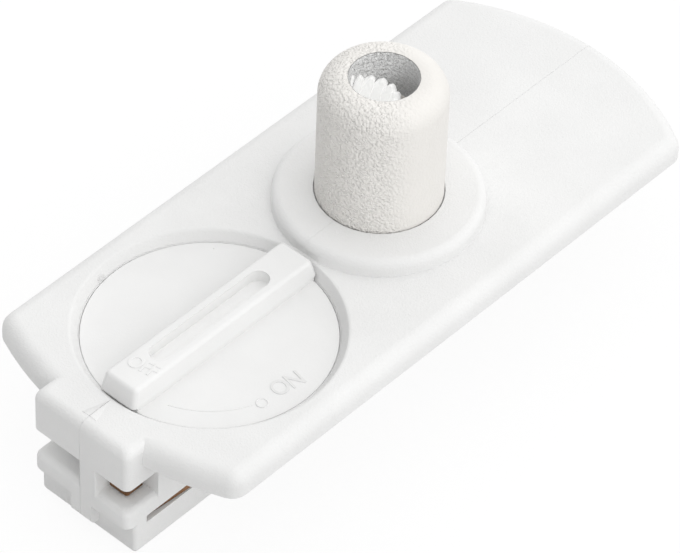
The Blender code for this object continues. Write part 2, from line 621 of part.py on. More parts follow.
def chamber_fittings():
    """Ledges under the collet foot, screw pillars, clamp posts and the rib between the terminals."""
    fittings = []
    half = COLLET_FOOT / 2 + FIT
    ledge_top = COLLET_FOOT_TOP_Z - COLLET_FOOT_HEIGHT - FIT
    for side in (-1, 1):
        low, high = sorted((side * (INNER_HALF - 1.3 * MM), side * (INNER_HALF + 0.5 * MM)))
        fittings.append(box(f"ledge_{side}", CUTTERS, GRIP_X - half + FIT, GRIP_X + half - FIT, low, high,
                            ledge_top - LEDGE_HEIGHT, ledge_top + FIT))
        fittings.append(cylinder(f"clamp_post_{side}", CUTTERS, CLAMP_POST_DIAMETER / 2, FLOOR - 0.5 * MM,
                                 CLAMP_BAR_Z - FIT, x=CLAMP_X, y=side * CLAMP_SCREW_Y, segments=24))
    for index, (x, z) in enumerate(CASE_SCREWS[1:]):
        fittings.append(cross_cylinder(f"pillar_{index}", CUTTERS, CASE_BOSS_DIAMETER / 2,
                                       -INNER_HALF - 0.5 * MM, INNER_HALF + 0.5 * MM, x, z))
    rib = RIB_WIDTH / 2
    fittings.append(box("terminal_rib", CUTTERS, TERMINAL_X - TERMINAL_LENGTH / 2,
                        TERMINAL_X + TERMINAL_LENGTH / 2, -rib, rib, SEAT_Z + STRIP_THICKNESS + FIT,
                        PLATE_BOTTOM_Z + CUT / 2))
    return fittings


def strip_slots():
    slots = []
    for side in (-1, 1):
        room = STRIP_WIDTH / 2 + FIT
        low, high = sorted((side * (STRIP_Y - room), side * (STRIP_Y + room)))
        slots.append(box(f"strip_slot_{side}", CUTTERS, KNOB_X + BLADE_BACK - STRIP_REACH - FIT,
                         CHAMBER_FRONT_X + CUT, low, high, BLADE_Z, STRIP_Z + STRIP_THICKNESS + FIT))
    return slots


def screw_holes():
    """Case screws run along Y with their heads sunk in the left half; clamp screws stand in their posts."""
    holes = []
    for index, (x, z) in enumerate(CASE_SCREWS):
        holes.append(cross_cylinder(f"case_hole_{index}", CUTTERS, CASE_SCREW_DIAMETER / 2 + 0.1 * MM,
                                    -HALF_WIDTH + CASE_SCREW_BLIND_WALL, HALF_WIDTH + CUT, x, z))
        holes.append(cross_cylinder(f"case_sink_{index}", CUTTERS, CASE_SCREW_HEAD / 2 + 0.15 * MM,
                                    HALF_WIDTH - CASE_SCREW_SINK, HALF_WIDTH + CUT, x, z))
    for side in (-1, 1):
        holes.append(cylinder(f"clamp_hole_{side}", CUTTERS, CLAMP_SCREW_DIAMETER / 2 + 0.1 * MM,
                              FLOOR + 0.4 * MM, CLAMP_BAR_Z + CUT, x=CLAMP_X, y=side * CLAMP_SCREW_Y,
                              segments=20))
    return holes


def baked(obj, name, home):
    """A new object that holds the evaluated mesh of another."""
    bpy.context.view_layer.update()
    graph = bpy.context.evaluated_depsgraph_get()
    mesh = bpy.data.meshes.new_from_object(obj.evaluated_get(graph))
    made = bpy.data.objects.new(name, mesh)
    made.matrix_world = obj.matrix_world
    home.objects.link(made)
    if home is CUTTERS:
        made.hide_render = True
        made.display_type = "WIRE"
    return made


def make_housing():
    """Both halves come from one blank, split along the long mid-plane."""
    blank = make_plate("housing_blank")
    join(blank, make_boss("boss_blank", CUTTERS), make_body("body_blank"), *make_tip_blocks())
    cut(blank, recess_cutter(), *underside_pockets(), cord_chamber(), *mechanism_cutters())
    join(blank, *chamber_fittings())
    cut(blank, *earth_channel(), *collet_rooms(), *strip_slots(), *screw_holes())
    whole = baked(blank, "housing_whole", CUTTERS)
    bpy.data.objects.remove(blank, do_unlink=True)
    halves = []
    for name, side in (("housing_left", 1), ("housing_right", -1)):
        low, high = sorted((side * SEAM_GAP / 2, side * PLATE_WIDTH))
        half = box(name, PARTS, -LENGTH, LENGTH, low, high, -CUT, BOSS_TOP_Z + CUT)
        keep(half, whole)
        halves.append(finish(half, "housing", None))
    return halves


def make_bar():
    """Grip bar of the knob: drafted sides and ends that clear the sloping rim, on a shorter root."""
    top, lift = DISC_TOP_Z + BAR_RISE, DISC_TOP_Z + BAR_LIFT
    half_length, half_width = BAR_LENGTH / 2, BAR_WIDTH / 2
    bar = box("knob_bar", CUTTERS, -half_length, half_length, -half_width, half_width, lift, top)
    for vertex in bar.data.vertices:
        if near(vertex.co.z, top):
            vertex.co.x *= 1 - BAR_END_DRAFT / half_length
            vertex.co.y *= 1 - BAR_DRAFT / half_width
    round_edges(bar, BAR_CORNER_RADIUS, 3, lambda middle, along: abs(along.z) > 0.9)
    round_edges(bar, BAR_EDGE_ROUND, 3, lambda middle, along: near(middle.z, top))
    reach, side = half_length - BAR_ROOT_SETBACK, half_width - NUDGE
    root = box("knob_bar_root", CUTTERS, -reach, reach, -side, side, DISC_BOTTOM_Z + CUT / 2, lift + NUDGE * 4)
    return bar, root


def make_knob(body):
    """Turning disc with a raised grip bar; a square socket in its shaft takes the cam."""
    radius = DISC_DIAMETER / 2
    shaft = SHAFT_DIAMETER / 2
    shaft_end = LUG_TOP_Z + RUNNING_CLEARANCE
    profile = [(0.0, DISC_TOP_Z)] + arc(radius - DISC_EDGE_ROUND, DISC_TOP_Z - DISC_EDGE_ROUND,
                                        DISC_EDGE_ROUND, 90, 0, 2)
    profile += [(radius, DISC_BOTTOM_Z), (shaft, DISC_BOTTOM_Z), (shaft, shaft_end), (0.0, shaft_end)]
    disc = revolve("knob", PARTS, profile, segments=64, closed=False)
    top = DISC_TOP_Z + BAR_RISE
    end = SLOT_LENGTH / 2 - SLOT_WIDTH / 2
    outline = arc(end, 0.0, SLOT_WIDTH / 2, -90, 90, 8) + arc(-end, 0.0, SLOT_WIDTH / 2, 90, 270, 8)
    slot = prism("knob_slot", CUTTERS, outline, top - SLOT_DEPTH, top + CUT)
    half = DRIVE_SQUARE / 2 + RUNNING_CLEARANCE
    socket = box("knob_socket", CUTTERS, -half, half, -half, half, LUG_TOP_Z - CUT,
                 LUG_TOP_Z + DRIVE_DEPTH + RUNNING_CLEARANCE)
    bar, root = make_bar()
    for piece in (disc, bar, root, slot, socket):
        piece.location = (KNOB_X, 0.0, 0.0)
    cut(join(disc, root, bar), slot, socket)
    return finish(disc, "knob", body)


def cam_outline():
    points = []
    for i in range(48):
        angle = 2 * math.pi * i / 48
        points.append((CAM_LONG_RADIUS * math.cos(angle), CAM_SHORT_RADIUS * math.sin(angle)))
    return points


def make_cam(body):
    """Locking lugs above, contact cam below, square drive on top and a journal through the floor."""
    nose = LUG_REACH - LUG_NOSE
    half = LUG_WIDTH / 2
    outline = [(nose, -half), (LUG_REACH, -half + LUG_NOSE), (LUG_REACH, half - LUG_NOSE), (nose, half),
               (-nose, half), (-LUG_REACH, half - LUG_NOSE), (-LUG_REACH, -half + LUG_NOSE), (-nose, -half)]
    lugs = prism("locking_cam", PARTS, outline, LUG_TOP_Z - LUG_THICKNESS, LUG_TOP_Z)
    round_edges(lugs, 0.5 * MM, 2, lambda middle, along: near(middle.z, LUG_TOP_Z))
    cam = prism("contact_cam", CUTTERS, cam_outline(), CAM_TOP_Z - CAM_THICKNESS, CAM_TOP_Z)
    neck = cylinder("cam_neck", CUTTERS, NECK_DIAMETER / 2, CAM_TOP_Z - CAM_THICKNESS / 4,
                    LUG_TOP_Z - LUG_THICKNESS * 0.8)
    journal = cylinder("cam_journal", CUTTERS, JOURNAL_DIAMETER / 2, JOURNAL_BOTTOM_Z,
                       CAM_TOP_Z - CAM_THICKNESS / 2)
    side = DRIVE_SQUARE / 2
    drive = box("cam_drive", CUTTERS, -side, side, -side, side, LUG_TOP_Z - 0.5 * MM, LUG_TOP_Z + DRIVE_DEPTH)
    hole = cylinder("cam_screw_hole", CUTTERS, SCREW_SHANK_DIAMETER / 2 + 0.1 * MM, JOURNAL_BOTTOM_Z - CUT,
                    JOURNAL_BOTTOM_Z + SCREW_HEAD_HEIGHT + SCREW_LENGTH, segments=24)
    sink = cylinder("cam_screw_sink", CUTTERS, SCREW_HEAD_DIAMETER / 2 + 0.15 * MM, JOURNAL_BOTTOM_Z - CUT,
                    JOURNAL_BOTTOM_Z + SCREW_HEAD_HEIGHT, segments=24)
    for piece in (lugs, cam, neck, journal, drive, hole, sink):
        piece.location = (KNOB_X, 0.0, 0.0)
    cut(join(lugs, cam, neck, journal, drive), hole, sink)
    return finish(lugs, "inner", body)


def screw(name, home, head_radius, shank_radius, head_height, length, segments=12):
    """Pan-head screw along +Z, its head's flat underside at z = 0 and its cross recess facing -Z."""
    profile = [(0.0, length), (shank_radius * 0.7, length), (shank_radius, length - shank_radius * 0.5),
               (shank_radius, 0.0), (head_radius, 0.0), (head_radius, -head_height * 0.6),
               (head_radius * 0.75, -head_height * 0.92), (0.0, -head_height)]
    made = revolve(name, home, profile, segments=segments, closed=False)
    arm = head_radius * 0.62
    thin = head_radius * 0.16
    cut(made,
        box(name + "_cross_a", CUTTERS, -arm, arm, -thin, thin, -head_height - CUT, -head_height * 0.45),
        box(name + "_cross_b", CUTTERS, -thin, thin, -arm, arm, -head_height - CUT, -head_height * 0.45))
    return made


def placed(obj, matrix, name, home):
    """Bakes a tool-made object and moves it into its place."""
    made = baked(obj, name, home)
    made.data.transform(matrix)
    return made


def make_screws(name, pattern, matrices, look, body):
    """Copies of one screw, each its own object."""
    single = len(matrices) == 1
    for index, matrix in enumerate(matrices):
        title = name if single else f"{name}_{index + 1}"
        finish(placed(pattern, matrix, title, PARTS), look, body)


def make_case_screws():
    pattern = screw("case_screw_pattern", CUTTERS, CASE_SCREW_HEAD / 2, CASE_SCREW_DIAMETER / 2,
                    CASE_SCREW_HEAD_HEIGHT, CASE_SCREW_LENGTH)
    seat_y = HALF_WIDTH - CASE_SCREW_SINK + SCREW_SEAT_GAP
    turn = Matrix.Rotation(math.pi / 2, 4, "X")
    matrices = [Matrix.Translation((x, seat_y, z)) @ turn for x, z in CASE_SCREWS]
    make_screws("case_screw", pattern, matrices, "steel", None)


def make_cam_screw(body):
    pattern = screw("cam_screw_pattern", CUTTERS, SCREW_HEAD_DIAMETER / 2, SCREW_SHANK_DIAMETER / 2,
                    SCREW_HEAD_HEIGHT * 0.8, SCREW_LENGTH)
    seat = JOURNAL_BOTTOM_Z + SCREW_HEAD_HEIGHT - SCREW_SEAT_GAP
    make_screws("cam_screw", pattern, [Matrix.Translation((KNOB_X, 0.0, seat))], "steel", body)


def make_blade(name, side, body):
    """Bowed copper blade that the cam pushes out through the side slot."""
    inner = CAM_SHORT_RADIUS + BLADE_CLEARANCE
    outer = HALF_WIDTH + BLADE_PROUD
    front, back = -BLADE_FRONT, BLADE_BACK
    middle = (front + back) / 2
    half = (back - front) / 2
    crown = [(middle + half * math.cos(math.radians(a)),
              outer - BLADE_BOW * math.cos(math.radians(a)) ** 2) for a in range(0, 181, 10)]
    outline = [(front, inner), (back, inner)] + crown
    if side < 0:
        outline = [(x, -y) for x, y in reversed(outline)]
    outline = [(KNOB_X + x, y) for x, y in outline]
    blade = prism(name, PARTS, outline, BLADE_Z - BLADE_THICKNESS / 2, BLADE_Z + BLADE_THICKNESS / 2)
    return finish(blade, "copper", body)


def make_strip(name, side):
    """Fixed strip that carries current from a blade's tail to its terminal."""
    low, high = sorted((side * (STRIP_Y - STRIP_WIDTH / 2), side * (STRIP_Y + STRIP_WIDTH / 2)))
    front = KNOB_X + BLADE_BACK - STRIP_REACH
    strip = box(name, PARTS, front, TERMINAL_X - TERMINAL_LENGTH / 2 + STRIP_LAP, low, high, STRIP_Z,
                STRIP_Z + STRIP_THICKNESS)
    round_edges(strip, 0.15 * MM, 1, lambda middle, along: abs(along.x) > 0.9)
    return finish(strip, "copper", None)


def make_terminal(name, x, y, length, strip_side):
    """Brass terminal block: a wire hole along X, a screw hole from above and a slot for its strip."""
    z0 = SEAT_Z if strip_side else SEAT_Z + STRIP_THICKNESS + FIT
    z1 = z0 + TERMINAL_HEIGHT
    front = x - length / 2
    block = box(name, PARTS, front, x + length / 2, y - TERMINAL_WIDTH / 2, y + TERMINAL_WIDTH / 2, z0, z1)
    round_edges(block, TERMINAL_EDGE_ROUND, 1, lambda middle, along: abs(along.x) > 0.9)
    wire_z = z0 + TERMINAL_WIRE_HEIGHT
    hole = cylinder(name + "_wire_hole", CUTTERS, TERMINAL_WIRE_HOLE / 2, -length, length, segments=24)
    hole.matrix_world = Matrix.Translation((x, y, wire_z)) @ Matrix.Rotation(math.pi / 2, 4, "Y")
    tap = cylinder(name + "_tap", CUTTERS, TERMINAL_SCREW_DIAMETER / 2 + 0.1 * MM, wire_z, z1 + CUT, x=x, y=y,
                   segments=24)
    cut(block, hole, tap)
    if strip_side:
        low, high = sorted((strip_side * (STRIP_Y - STRIP_WIDTH / 2 - FIT),
                            strip_side * (STRIP_Y + STRIP_WIDTH / 2 + CUT)))
        cut(block, box(name + "_strip_room", CUTTERS, front - CUT, front + STRIP_LAP + FIT, low, high,
                       STRIP_Z - FIT, STRIP_Z + STRIP_THICKNESS + FIT))
    return finish(block, "brass", None)


def make_terminal_screw(name, x, y, lifted):
    z0 = SEAT_Z + (STRIP_THICKNESS + FIT if lifted else 0.0)
    top = z0 + TERMINAL_HEIGHT + TERMINAL_SCREW_PROUD
    half = TERMINAL_SCREW_DIAMETER / 2
    stud = cylinder(name, PARTS, half, z0 + TERMINAL_WIRE_HEIGHT + 0.6 * MM, top, x=x, y=y, segments=24)
    cut(stud, box(name + "_slot", CUTTERS, x - half - CUT, x + half + CUT, y - 0.25 * MM, y + 0.25 * MM,
                  top - 0.7 * MM, top + CUT))
    return finish(stud, "steel", None)


def make_earth_strip():
    """One bent strip: contact in the tip's window, leg down, run along the floor, ring round the journal."""
    half = EARTH_STRIP_WIDTH / 2
    leg_half = EARTH_LEG_WIDTH / 2
    base, lift = SEAT_Z, SEAT_Z + STRIP_THICKNESS
    corner_x, corner_y = TIP_X + EARTH_SETBACK, -HALF_WIDTH + EARTH_SETBACK
    back_x = EARTH_LEG_X + STRIP_THICKNESS + 0.4 * MM
    top = FLANGE_TOP_Z + FIT + STRIP_THICKNESS
    contact = box("earth_strip", PARTS, corner_x, back_x, corner_y, -POST_WIDTH - FIT,
                  top - STRIP_THICKNESS, top)
    round_edges(contact, EARTH_CORNER_RADIUS, 2,
                lambda middle, along: near(middle.x, corner_x) and near(middle.y, corner_y))
    leg = box("earth_leg", CUTTERS, EARTH_LEG_X, EARTH_LEG_X + STRIP_THICKNESS, EARTH_LEG_Y - leg_half,
              EARTH_LEG_Y + leg_half, base, top - STRIP_THICKNESS / 2)
    side = box("earth_link", CUTTERS, EARTH_LEG_X, EARTH_LEG_X + EARTH_STRIP_WIDTH, EARTH_LEG_Y - leg_half,
               half, base, lift)
    end_x = EARTH_TERMINAL_X + EARTH_TERMINAL_LENGTH / 2
    run = box("earth_long_run", CUTTERS, EARTH_LEG_X + NUDGE * 4, end_x, -half, half, base + NUDGE / 3,
              lift - NUDGE / 3)
    ring = cylinder("earth_ring", CUTTERS, EARTH_RING_DIAMETER / 2, base - NUDGE, lift + NUDGE, x=KNOB_X,
                    segments=32)
    hole = cylinder("earth_ring_hole", CUTTERS, JOURNAL_DIAMETER / 2 + FIT, base - CUT, lift + CUT, x=KNOB_X,
                    segments=32)
    cut(join(contact, leg, side, run, ring), hole)
    return finish(contact, "copper", None)


def make_collet():
    """Split sleeve: square foot held between the halves, stem, and slit fingers that close on the cord."""
    stem = COLLET_DIAMETER / 2
    tip_z = COVER_TOP_Z - COLLET_TIP_DROP
    tip = COLLET_TIP_DIAMETER / 2
    bore = COLLET_BORE / 2
    low = COLLET_FOOT_TOP_Z - COLLET_FOOT_HEIGHT
    profile = [(tip - 0.25 * MM, tip_z), (tip, tip_z - 0.3 * MM), (tip, tip_z - 2.2 * MM),
               (stem, COLLET_SHOULDER_Z), (stem, low + 0.3 * MM), (bore, low + 0.3 * MM),
               (bore, tip_z - 0.2 * MM), (bore + 0.2 * MM, tip_z)]
    sleeve = revolve("cord_collet", PARTS, profile, x=GRIP_X, segments=40)
    half = COLLET_FOOT / 2
    foot = box("collet_foot", CUTTERS, GRIP_X - half, GRIP_X + half, -half, half, low, COLLET_FOOT_TOP_Z)
    through = cylinder("collet_through", CUTTERS, (bore + stem) / 2, low - CUT, COLLET_FOOT_TOP_Z + CUT,
                       x=GRIP_X)
    slits = []
    for i in range(COLLET_FINGERS):
        angle = math.pi * (2 * i + 1) / COLLET_FINGERS
        slit = box(f"collet_slit_{i}", CUTTERS, bore / 2, stem + CUT, -COLLET_SLIT / 2, COLLET_SLIT / 2,
                   tip_z - COLLET_SLIT_DEPTH, tip_z + CUT)
        slit.matrix_world = Matrix.Translation((GRIP_X, 0.0, 0.0)) @ Matrix.Rotation(angle, 4, "Z")
        slits.append(slit)
    cut(join(sleeve, cut(foot, through)), *slits)
    return finish(sleeve, "collet", None)


def make_cover(body):
    """Cast screw cover over the collet: domed rim, bore for the cord and a cone that squeezes the fingers."""
    outer = COVER_DIAMETER / 2
    bore = COVER_BORE / 2
    inner = outer - COVER_WALL
    lip_z = COVER_TOP_Z - COVER_LIP
    rim = arc(outer - COVER_EDGE_ROUND, COVER_TOP_Z - COVER_EDGE_ROUND, COVER_EDGE_ROUND, 90, 0, 5)
    ease = 0.5 * MM
    throat = arc(bore + ease, COVER_TOP_Z - ease, ease, 180, 90, 3)
    profile = rim + [(outer, COVER_BOTTOM_Z + 0.4 * MM), (outer - 0.4 * MM, COVER_BOTTOM_Z),
                     (inner, COVER_BOTTOM_Z), (inner, lip_z - COVER_CONE), (bore + 0.35 * MM, lip_z),
                     (bore, lip_z)] + throat
    cover = revolve("grip_cover", PARTS, profile, x=GRIP_X, segments=44)
    return finish(cover, "cover", body)


def make_clamp():
    """Bar that pins the cord down, with its two screws."""
    half = INNER_HALF - FIT
    top = CLAMP_BAR_Z + CLAMP_BAR_HEIGHT
    bar = box("cord_clamp_bar", PARTS, CLAMP_X - CLAMP_BAR_WIDTH / 2, CLAMP_X + CLAMP_BAR_WIDTH / 2,
              -half, half, CLAMP_BAR_Z, top)
    round_edges(bar, 0.5 * MM, 3, lambda middle, along: abs(along.y) > 0.9)
    for side in (-1, 1):
        cut(bar, cylinder(f"clamp_bar_hole_{side}", CUTTERS, CLAMP_SCREW_DIAMETER / 2 + 0.15 * MM,
                          CLAMP_BAR_Z - CUT, top + CUT, x=CLAMP_X, y=side * CLAMP_SCREW_Y, segments=24))
    finish(bar, "inner", None)
    pattern = screw("clamp_screw_pattern", CUTTERS, CLAMP_SCREW_HEAD / 2, CLAMP_SCREW_DIAMETER / 2,
                    CLAMP_SCREW_HEAD_HEIGHT, CLAMP_SCREW_LENGTH)
    flip = Matrix.Rotation(math.pi, 4, "X")
    seat_z = top + SCREW_SEAT_GAP
    matrices = [Matrix.Translation((CLAMP_X, side * CLAMP_SCREW_Y, seat_z)) @ flip for side in (-1, 1)]
    make_screws("clamp_screw", pattern, matrices, "steel", None)


def main():
    rotor = axis_empty("rotor_axis", KNOB_X, 0.0, DISC_TOP_Z)
    cover_axis = axis_empty("cover_axis", GRIP_X, 0.0, COVER_TOP_Z)
    left_slide = axis_empty("neutral_slide", KNOB_X, CAM_SHORT_RADIUS, BLADE_Z)
    right_slide = axis_empty("line_slide", KNOB_X, -CAM_SHORT_RADIUS, BLADE_Z)
    make_housing()
    make_case_screws()
    make_knob(rotor)
    make_cam(rotor)
    make_cam_screw(rotor)
    make_blade("line_contact", -1, right_slide)
    make_blade("neutral_contact", 1, left_slide)
    make_strip("line_strip", -1)
    make_strip("neutral_strip", 1)
    make_terminal("line_terminal", TERMINAL_X, -TERMINAL_Y, TERMINAL_LENGTH, -1)
    make_terminal("neutral_terminal", TERMINAL_X, TERMINAL_Y, TERMINAL_LENGTH, 1)
    make_terminal("earth_terminal", EARTH_TERMINAL_X, 0.0, EARTH_TERMINAL_LENGTH, 0)
    make_terminal_screw("line_terminal_screw", TERMINAL_X, -TERMINAL_Y, False)
    make_terminal_screw("neutral_terminal_screw", TERMINAL_X, TERMINAL_Y, False)
    make_terminal_screw("earth_terminal_screw", EARTH_TERMINAL_X, 0.0, True)
    make_earth_strip()
    make_collet()
    make_cover(cover_axis)
    make_clamp()


clear_scene()
PARTS = collection("track_light_adapter")
CUTTERS = collection("cutters")
main()
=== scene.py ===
"""Looks of the track light adapter: materials, lettering, small moulded details, light, floor and camera."""

import json
import math

import bmesh
import bpy
from mathutils import Matrix, Vector


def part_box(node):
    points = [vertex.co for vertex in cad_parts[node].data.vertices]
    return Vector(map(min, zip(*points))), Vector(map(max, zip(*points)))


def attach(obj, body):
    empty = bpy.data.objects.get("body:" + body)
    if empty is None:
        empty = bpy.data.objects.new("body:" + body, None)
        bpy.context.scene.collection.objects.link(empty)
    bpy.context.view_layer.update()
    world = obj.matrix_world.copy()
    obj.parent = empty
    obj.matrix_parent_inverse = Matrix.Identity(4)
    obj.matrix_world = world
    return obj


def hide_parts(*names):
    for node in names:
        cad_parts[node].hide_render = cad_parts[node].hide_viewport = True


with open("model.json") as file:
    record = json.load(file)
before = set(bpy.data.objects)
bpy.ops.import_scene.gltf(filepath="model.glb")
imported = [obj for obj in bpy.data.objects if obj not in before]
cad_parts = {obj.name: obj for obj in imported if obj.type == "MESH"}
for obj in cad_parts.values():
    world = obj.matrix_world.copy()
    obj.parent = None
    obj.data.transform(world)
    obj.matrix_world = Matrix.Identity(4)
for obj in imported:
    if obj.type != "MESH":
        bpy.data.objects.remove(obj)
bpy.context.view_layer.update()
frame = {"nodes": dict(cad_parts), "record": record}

MM = 0.001

# Camera, matched to the photograph's view
CAMERA_PLACE = Vector((-282.46, -244.10, 380.75)) * MM
CAMERA_RIGHT = Vector((0.675976, -0.736376, 0.028399))
CAMERA_UP = Vector((0.507193, 0.492858, 0.706998))
CAMERA_LENS = 254.29
SENSOR_WIDTH = 36.0

WHITE = (1.0, 1.0, 1.0, 1.0)

# Light: a soft tent that is dimmed past the tip, one lamp, and a floor that looks white
FLOOR_HALF = 2.0
FLOOR_DROP = 0.01 * MM
FLOOR_BOUNCE = 0.68
FLOOR_GLOW = 0.9
TENT_BRIGHT_SIDE = Vector((0.35, -0.90, 0.15)).normalized()
TENT_SLOPE = 0.18
TENT_LEVEL = 1.16
FLAG_SIDE = Vector((-0.91, 0.40, 0.05)).normalized()
FLAG_SPAN, FLAG_DEPTH = (0.5, 0.97), 0.95
KEY_SIDE, KEY_DISTANCE, KEY_SIZE, KEY_POWER = (0.9, 0.5, 0.3), 1.0, 0.8, 0.25

# Cover
COVER_DOME = 2.5 * MM
COVER_EASE = 0.3 * MM
COVER_WALL = 1.6 * MM
COVER_LIP = 5.6 * MM
COVER_CONE = 2.2 * MM
COVER_BORE = 3.82 * MM
COVER_BORE_EASE = 0.15 * MM
COVER_LIP_EASE = 0.35 * MM

# Coat of the cover and bare cast metal in its bore. The sweep, the bore's shade and the crinkle's fade are
# painted on toward the camera's right to match the photo, and aren't made by light
COAT_DARK, COAT_LIGHT = (0.825, 0.805, 0.773), (0.84, 0.82, 0.788)
COAT_MOTTLE = 1.6 * MM
# Painted light and shade on the coat, running from the camera's left to its right
PAINTED_SHADING_HALF = 7.1 * MM
PAINTED_SHADING_TONES = ((0.0, 0.97), (0.45, 1.06), (0.75, 1.0), (1.0, 0.93))
CHIP_SIZE, CHIP_DEPTH, CHIP_BLUR = 0.3 * MM, 0.12 * MM, 0.06 * MM
CHIPPED_EDGE_TONES = ((0.0, 1.0), (0.45, 0.28), (0.75, 0.4), (1.0, 1.0))
CAST_GRIT, CAST_ROUGHNESS = 0.14 * MM, 0.06 * MM
CAST_TONES = ((0.36, (0.56, 0.56, 0.56)), (0.5, (0.84, 0.84, 0.84)), (0.66, (0.96, 0.96, 0.95)))
TURNING_SCALE = 0.314 / (0.65 * MM)
TURNING_TONES = ((0.0, 0.86), (0.25, 1.0), (1.0, 1.0))
BORE_SHADE_LEAN = -0.75
BORE_SHADE_SPAN, BORE_SHADE_TONES = (-10.8 * MM, -6.0 * MM), (1.0, 0.5)
CRINKLE_CELL, CRINKLE_DEPTH = 0.30 * MM, 0.27 * MM
CRINKLE_WANDER_SIZE, CRINKLE_WANDER = 0.5 * MM, 0.35 * MM
CRINKLE_FADE_SPAN, CRINKLE_FADE = (-1.0 * MM, 4.0 * MM), (1.0, 0.12)

# Collet fingers under the bore: depth below each tip, ring radius, shift to camera left, width share
COLLET_FINGERS = 14
COLLET_TIP_Z = 31.9 * MM
COLLET_RISE = 1.9 * MM
COLLET_FINGER_DEPTH = 0.75 * MM
COLLET_LEVELS = ((0.0, 2.62, 1.45, 0.62), (0.3, 2.64, 1.45, 0.72), (0.75, 2.62, 1.50, 0.98),
                 (2.2, 2.56, 1.62, 1.06), (4.2, 2.75, 1.40, 1.06), (6.6, 3.90, 0.20, 1.06))
COLLET_RIB = 0.14 * MM
COLLET_TWIST = 0.085
COLLET_TIP_ROUND = 0.42 * MM
COLLET_SLEEVE = 10.0 * MM
COLLET_SLEEVE_WALL = 1.4 * MM
COLLET_SLEEVE_DROP = 4.2 * MM

# Glow that brings the collet's tips to their tone in the photo. The real collet gives off no light
COLLET_GLOW = 0.17

# Tones painted in the bar's slot and on the recess rim to match the photo, not made by light
SLOT_HALF, SLOT_REACH, SLOT_DEPTH = 1.25 * MM, 8.8 * MM, 1.5 * MM
SLOT_BLUR, SLOT_LIP, SLOT_UNDER = (0.02 * MM, 0.05 * MM), (0.3 * MM, 0.1 * MM), (0.1 * MM, 0.05 * MM)
# Painted light: the inside of the bar's slot is made paler than the knob
SLOT_PAINTED_LIGHT = 1.1
# Painted shade: the recess rim is darker on the side that the camera sees at the right
RIM_OUTER, RIM_LOW_Z, RIM_PAINTED_SHADE = 14.85 * MM, 14.0 * MM, 0.84
RIM_SIDE, RIM_SIDE_SPAN = Vector((0.82, -0.57, 0.0)), (7.0 * MM, 12.0 * MM)
RIM_BLUR, RIM_FADE = (0.1 * MM, 0.05 * MM), 0.5 * MM

# Marks on the knob, measured from its axis
BAR_RISE = 2.8 * MM
LETTER_HEIGHT = 0.04 * MM
LETTER_NARROW = 0.87
LETTER_SPACING = 0.9
LETTER_CAP_SHARE = 0.69
LETTER_BEVEL = 0.03 * MM
OFF_READING, OFF_SIZE, OFF_STROKE = (0.16, -0.987), 1.75 * MM, 0.01 * MM
ON_READING, ON_SIZE, ON_STROKE = (0.984, -0.177), 2.05 * MM, 0.015 * MM
OFF_X, OFF_Y = -10.35 * MM, -0.15 * MM
ON_X, ON_Y = 0.34 * MM, -11.05 * MM
ARC_RADIUS = 11.4 * MM
ARC_START_DEG, ARC_END_DEG = 201.0, 247.0
RING_X, RING_Y, RING_RADIUS = -3.55 * MM, -11.0 * MM, 0.62 * MM
ARC_RIDGE, RING_RIDGE = 0.07 * MM, 0.1 * MM
GATE_X, GATE_Y = 9.66 * MM, 8.58 * MM
GATE_RADIUS, GATE_FLATNESS = 0.16 * MM, 0.4

# Gap between the halves, and the pale strip in it
SEAM_HALF = 0.025 * MM
SEAM_FILL = 0.018 * MM
SEAM_SINK = 0.025 * MM
SEAM_SINK_FRONT = 0.09 * MM
SEAM_FRONT_X = -41.0 * MM
SEAM_DEPTH = 0.3 * MM
SEAM_REACH_SLACK, SEAM_FRONT_DROP = 0.1 * MM, 1.5 * MM
SEAM_MITRE_LIMIT = 0.35

# Recess: pale ring round the disc and nub on the rim, measured from the knob's axis
GAP_INNER, GAP_OUTER, GAP_SINK, GAP_THICK = 13.92 * MM, 14.03 * MM, 0.08 * MM, 0.4 * MM
NUB_X, NUB_Y, NUB_Z = -2.26 * MM, 14.12 * MM, 15.2 * MM
NUB_SIZE = (0.6 * MM, 0.33 * MM, 0.19 * MM)

# Eased edges: share of the full width away from the tip's window, where that window ends, and how close
# points are joined
EASE_SHARE = 0.35
WELD_DISTANCE = 0.001 * MM
WINDOW_END_X = -36.0 * MM
WINDOW_TOP_Z = 10.5 * MM

# Pointer on the tip
PLATE_TOP_Z = 16.0 * MM
ARROW_BASE_X = -18.15 * MM
ARROW_APEX_X = -15.1 * MM
ARROW_HALF = 1.1 * MM
ARROW_HEIGHT = 0.05 * MM
ARROW_SLOPE = 0.06 * MM
ARROW_SWEEP, ARROW_ROOT = 0.1 * MM, 0.02 * MM


def new_material(name):
    made = bpy.data.materials.new(name)
    made.use_nodes = True
    tree = made.node_tree
    return made, tree, tree.nodes["Principled BSDF"]


def add_node(tree, kind, **values):
    node = tree.nodes.new(kind)
    for key, value in values.items():
        if hasattr(node, key):
            setattr(node, key, value)
        else:
            node.inputs[key.replace("_", " ")].default_value = value
    return node


def noise(tree, coordinates, scale, detail=2.0, roughness=0.5):
    node = add_node(tree, "ShaderNodeTexNoise")
    node.inputs["Scale"].default_value = scale
    node.inputs["Detail"].default_value = detail
    node.inputs["Roughness"].default_value = roughness
    tree.links.new(coordinates, node.inputs["Vector"])
    return node.outputs["Fac"]


def ramp(tree, value, stops):
    node = add_node(tree, "ShaderNodeValToRGB")
    elements = node.color_ramp.elements
    elements[0].position, elements[0].color = stops[0][0], (*stops[0][1], 1.0)
    elements[1].position, elements[1].color = stops[-1][0], (*stops[-1][1], 1.0)
    for place, colour in stops[1:-1]:
        element = elements.new(place)
        element.color = (*colour, 1.0)
    tree.links.new(value, node.inputs["Fac"])
    return node.outputs["Color"]


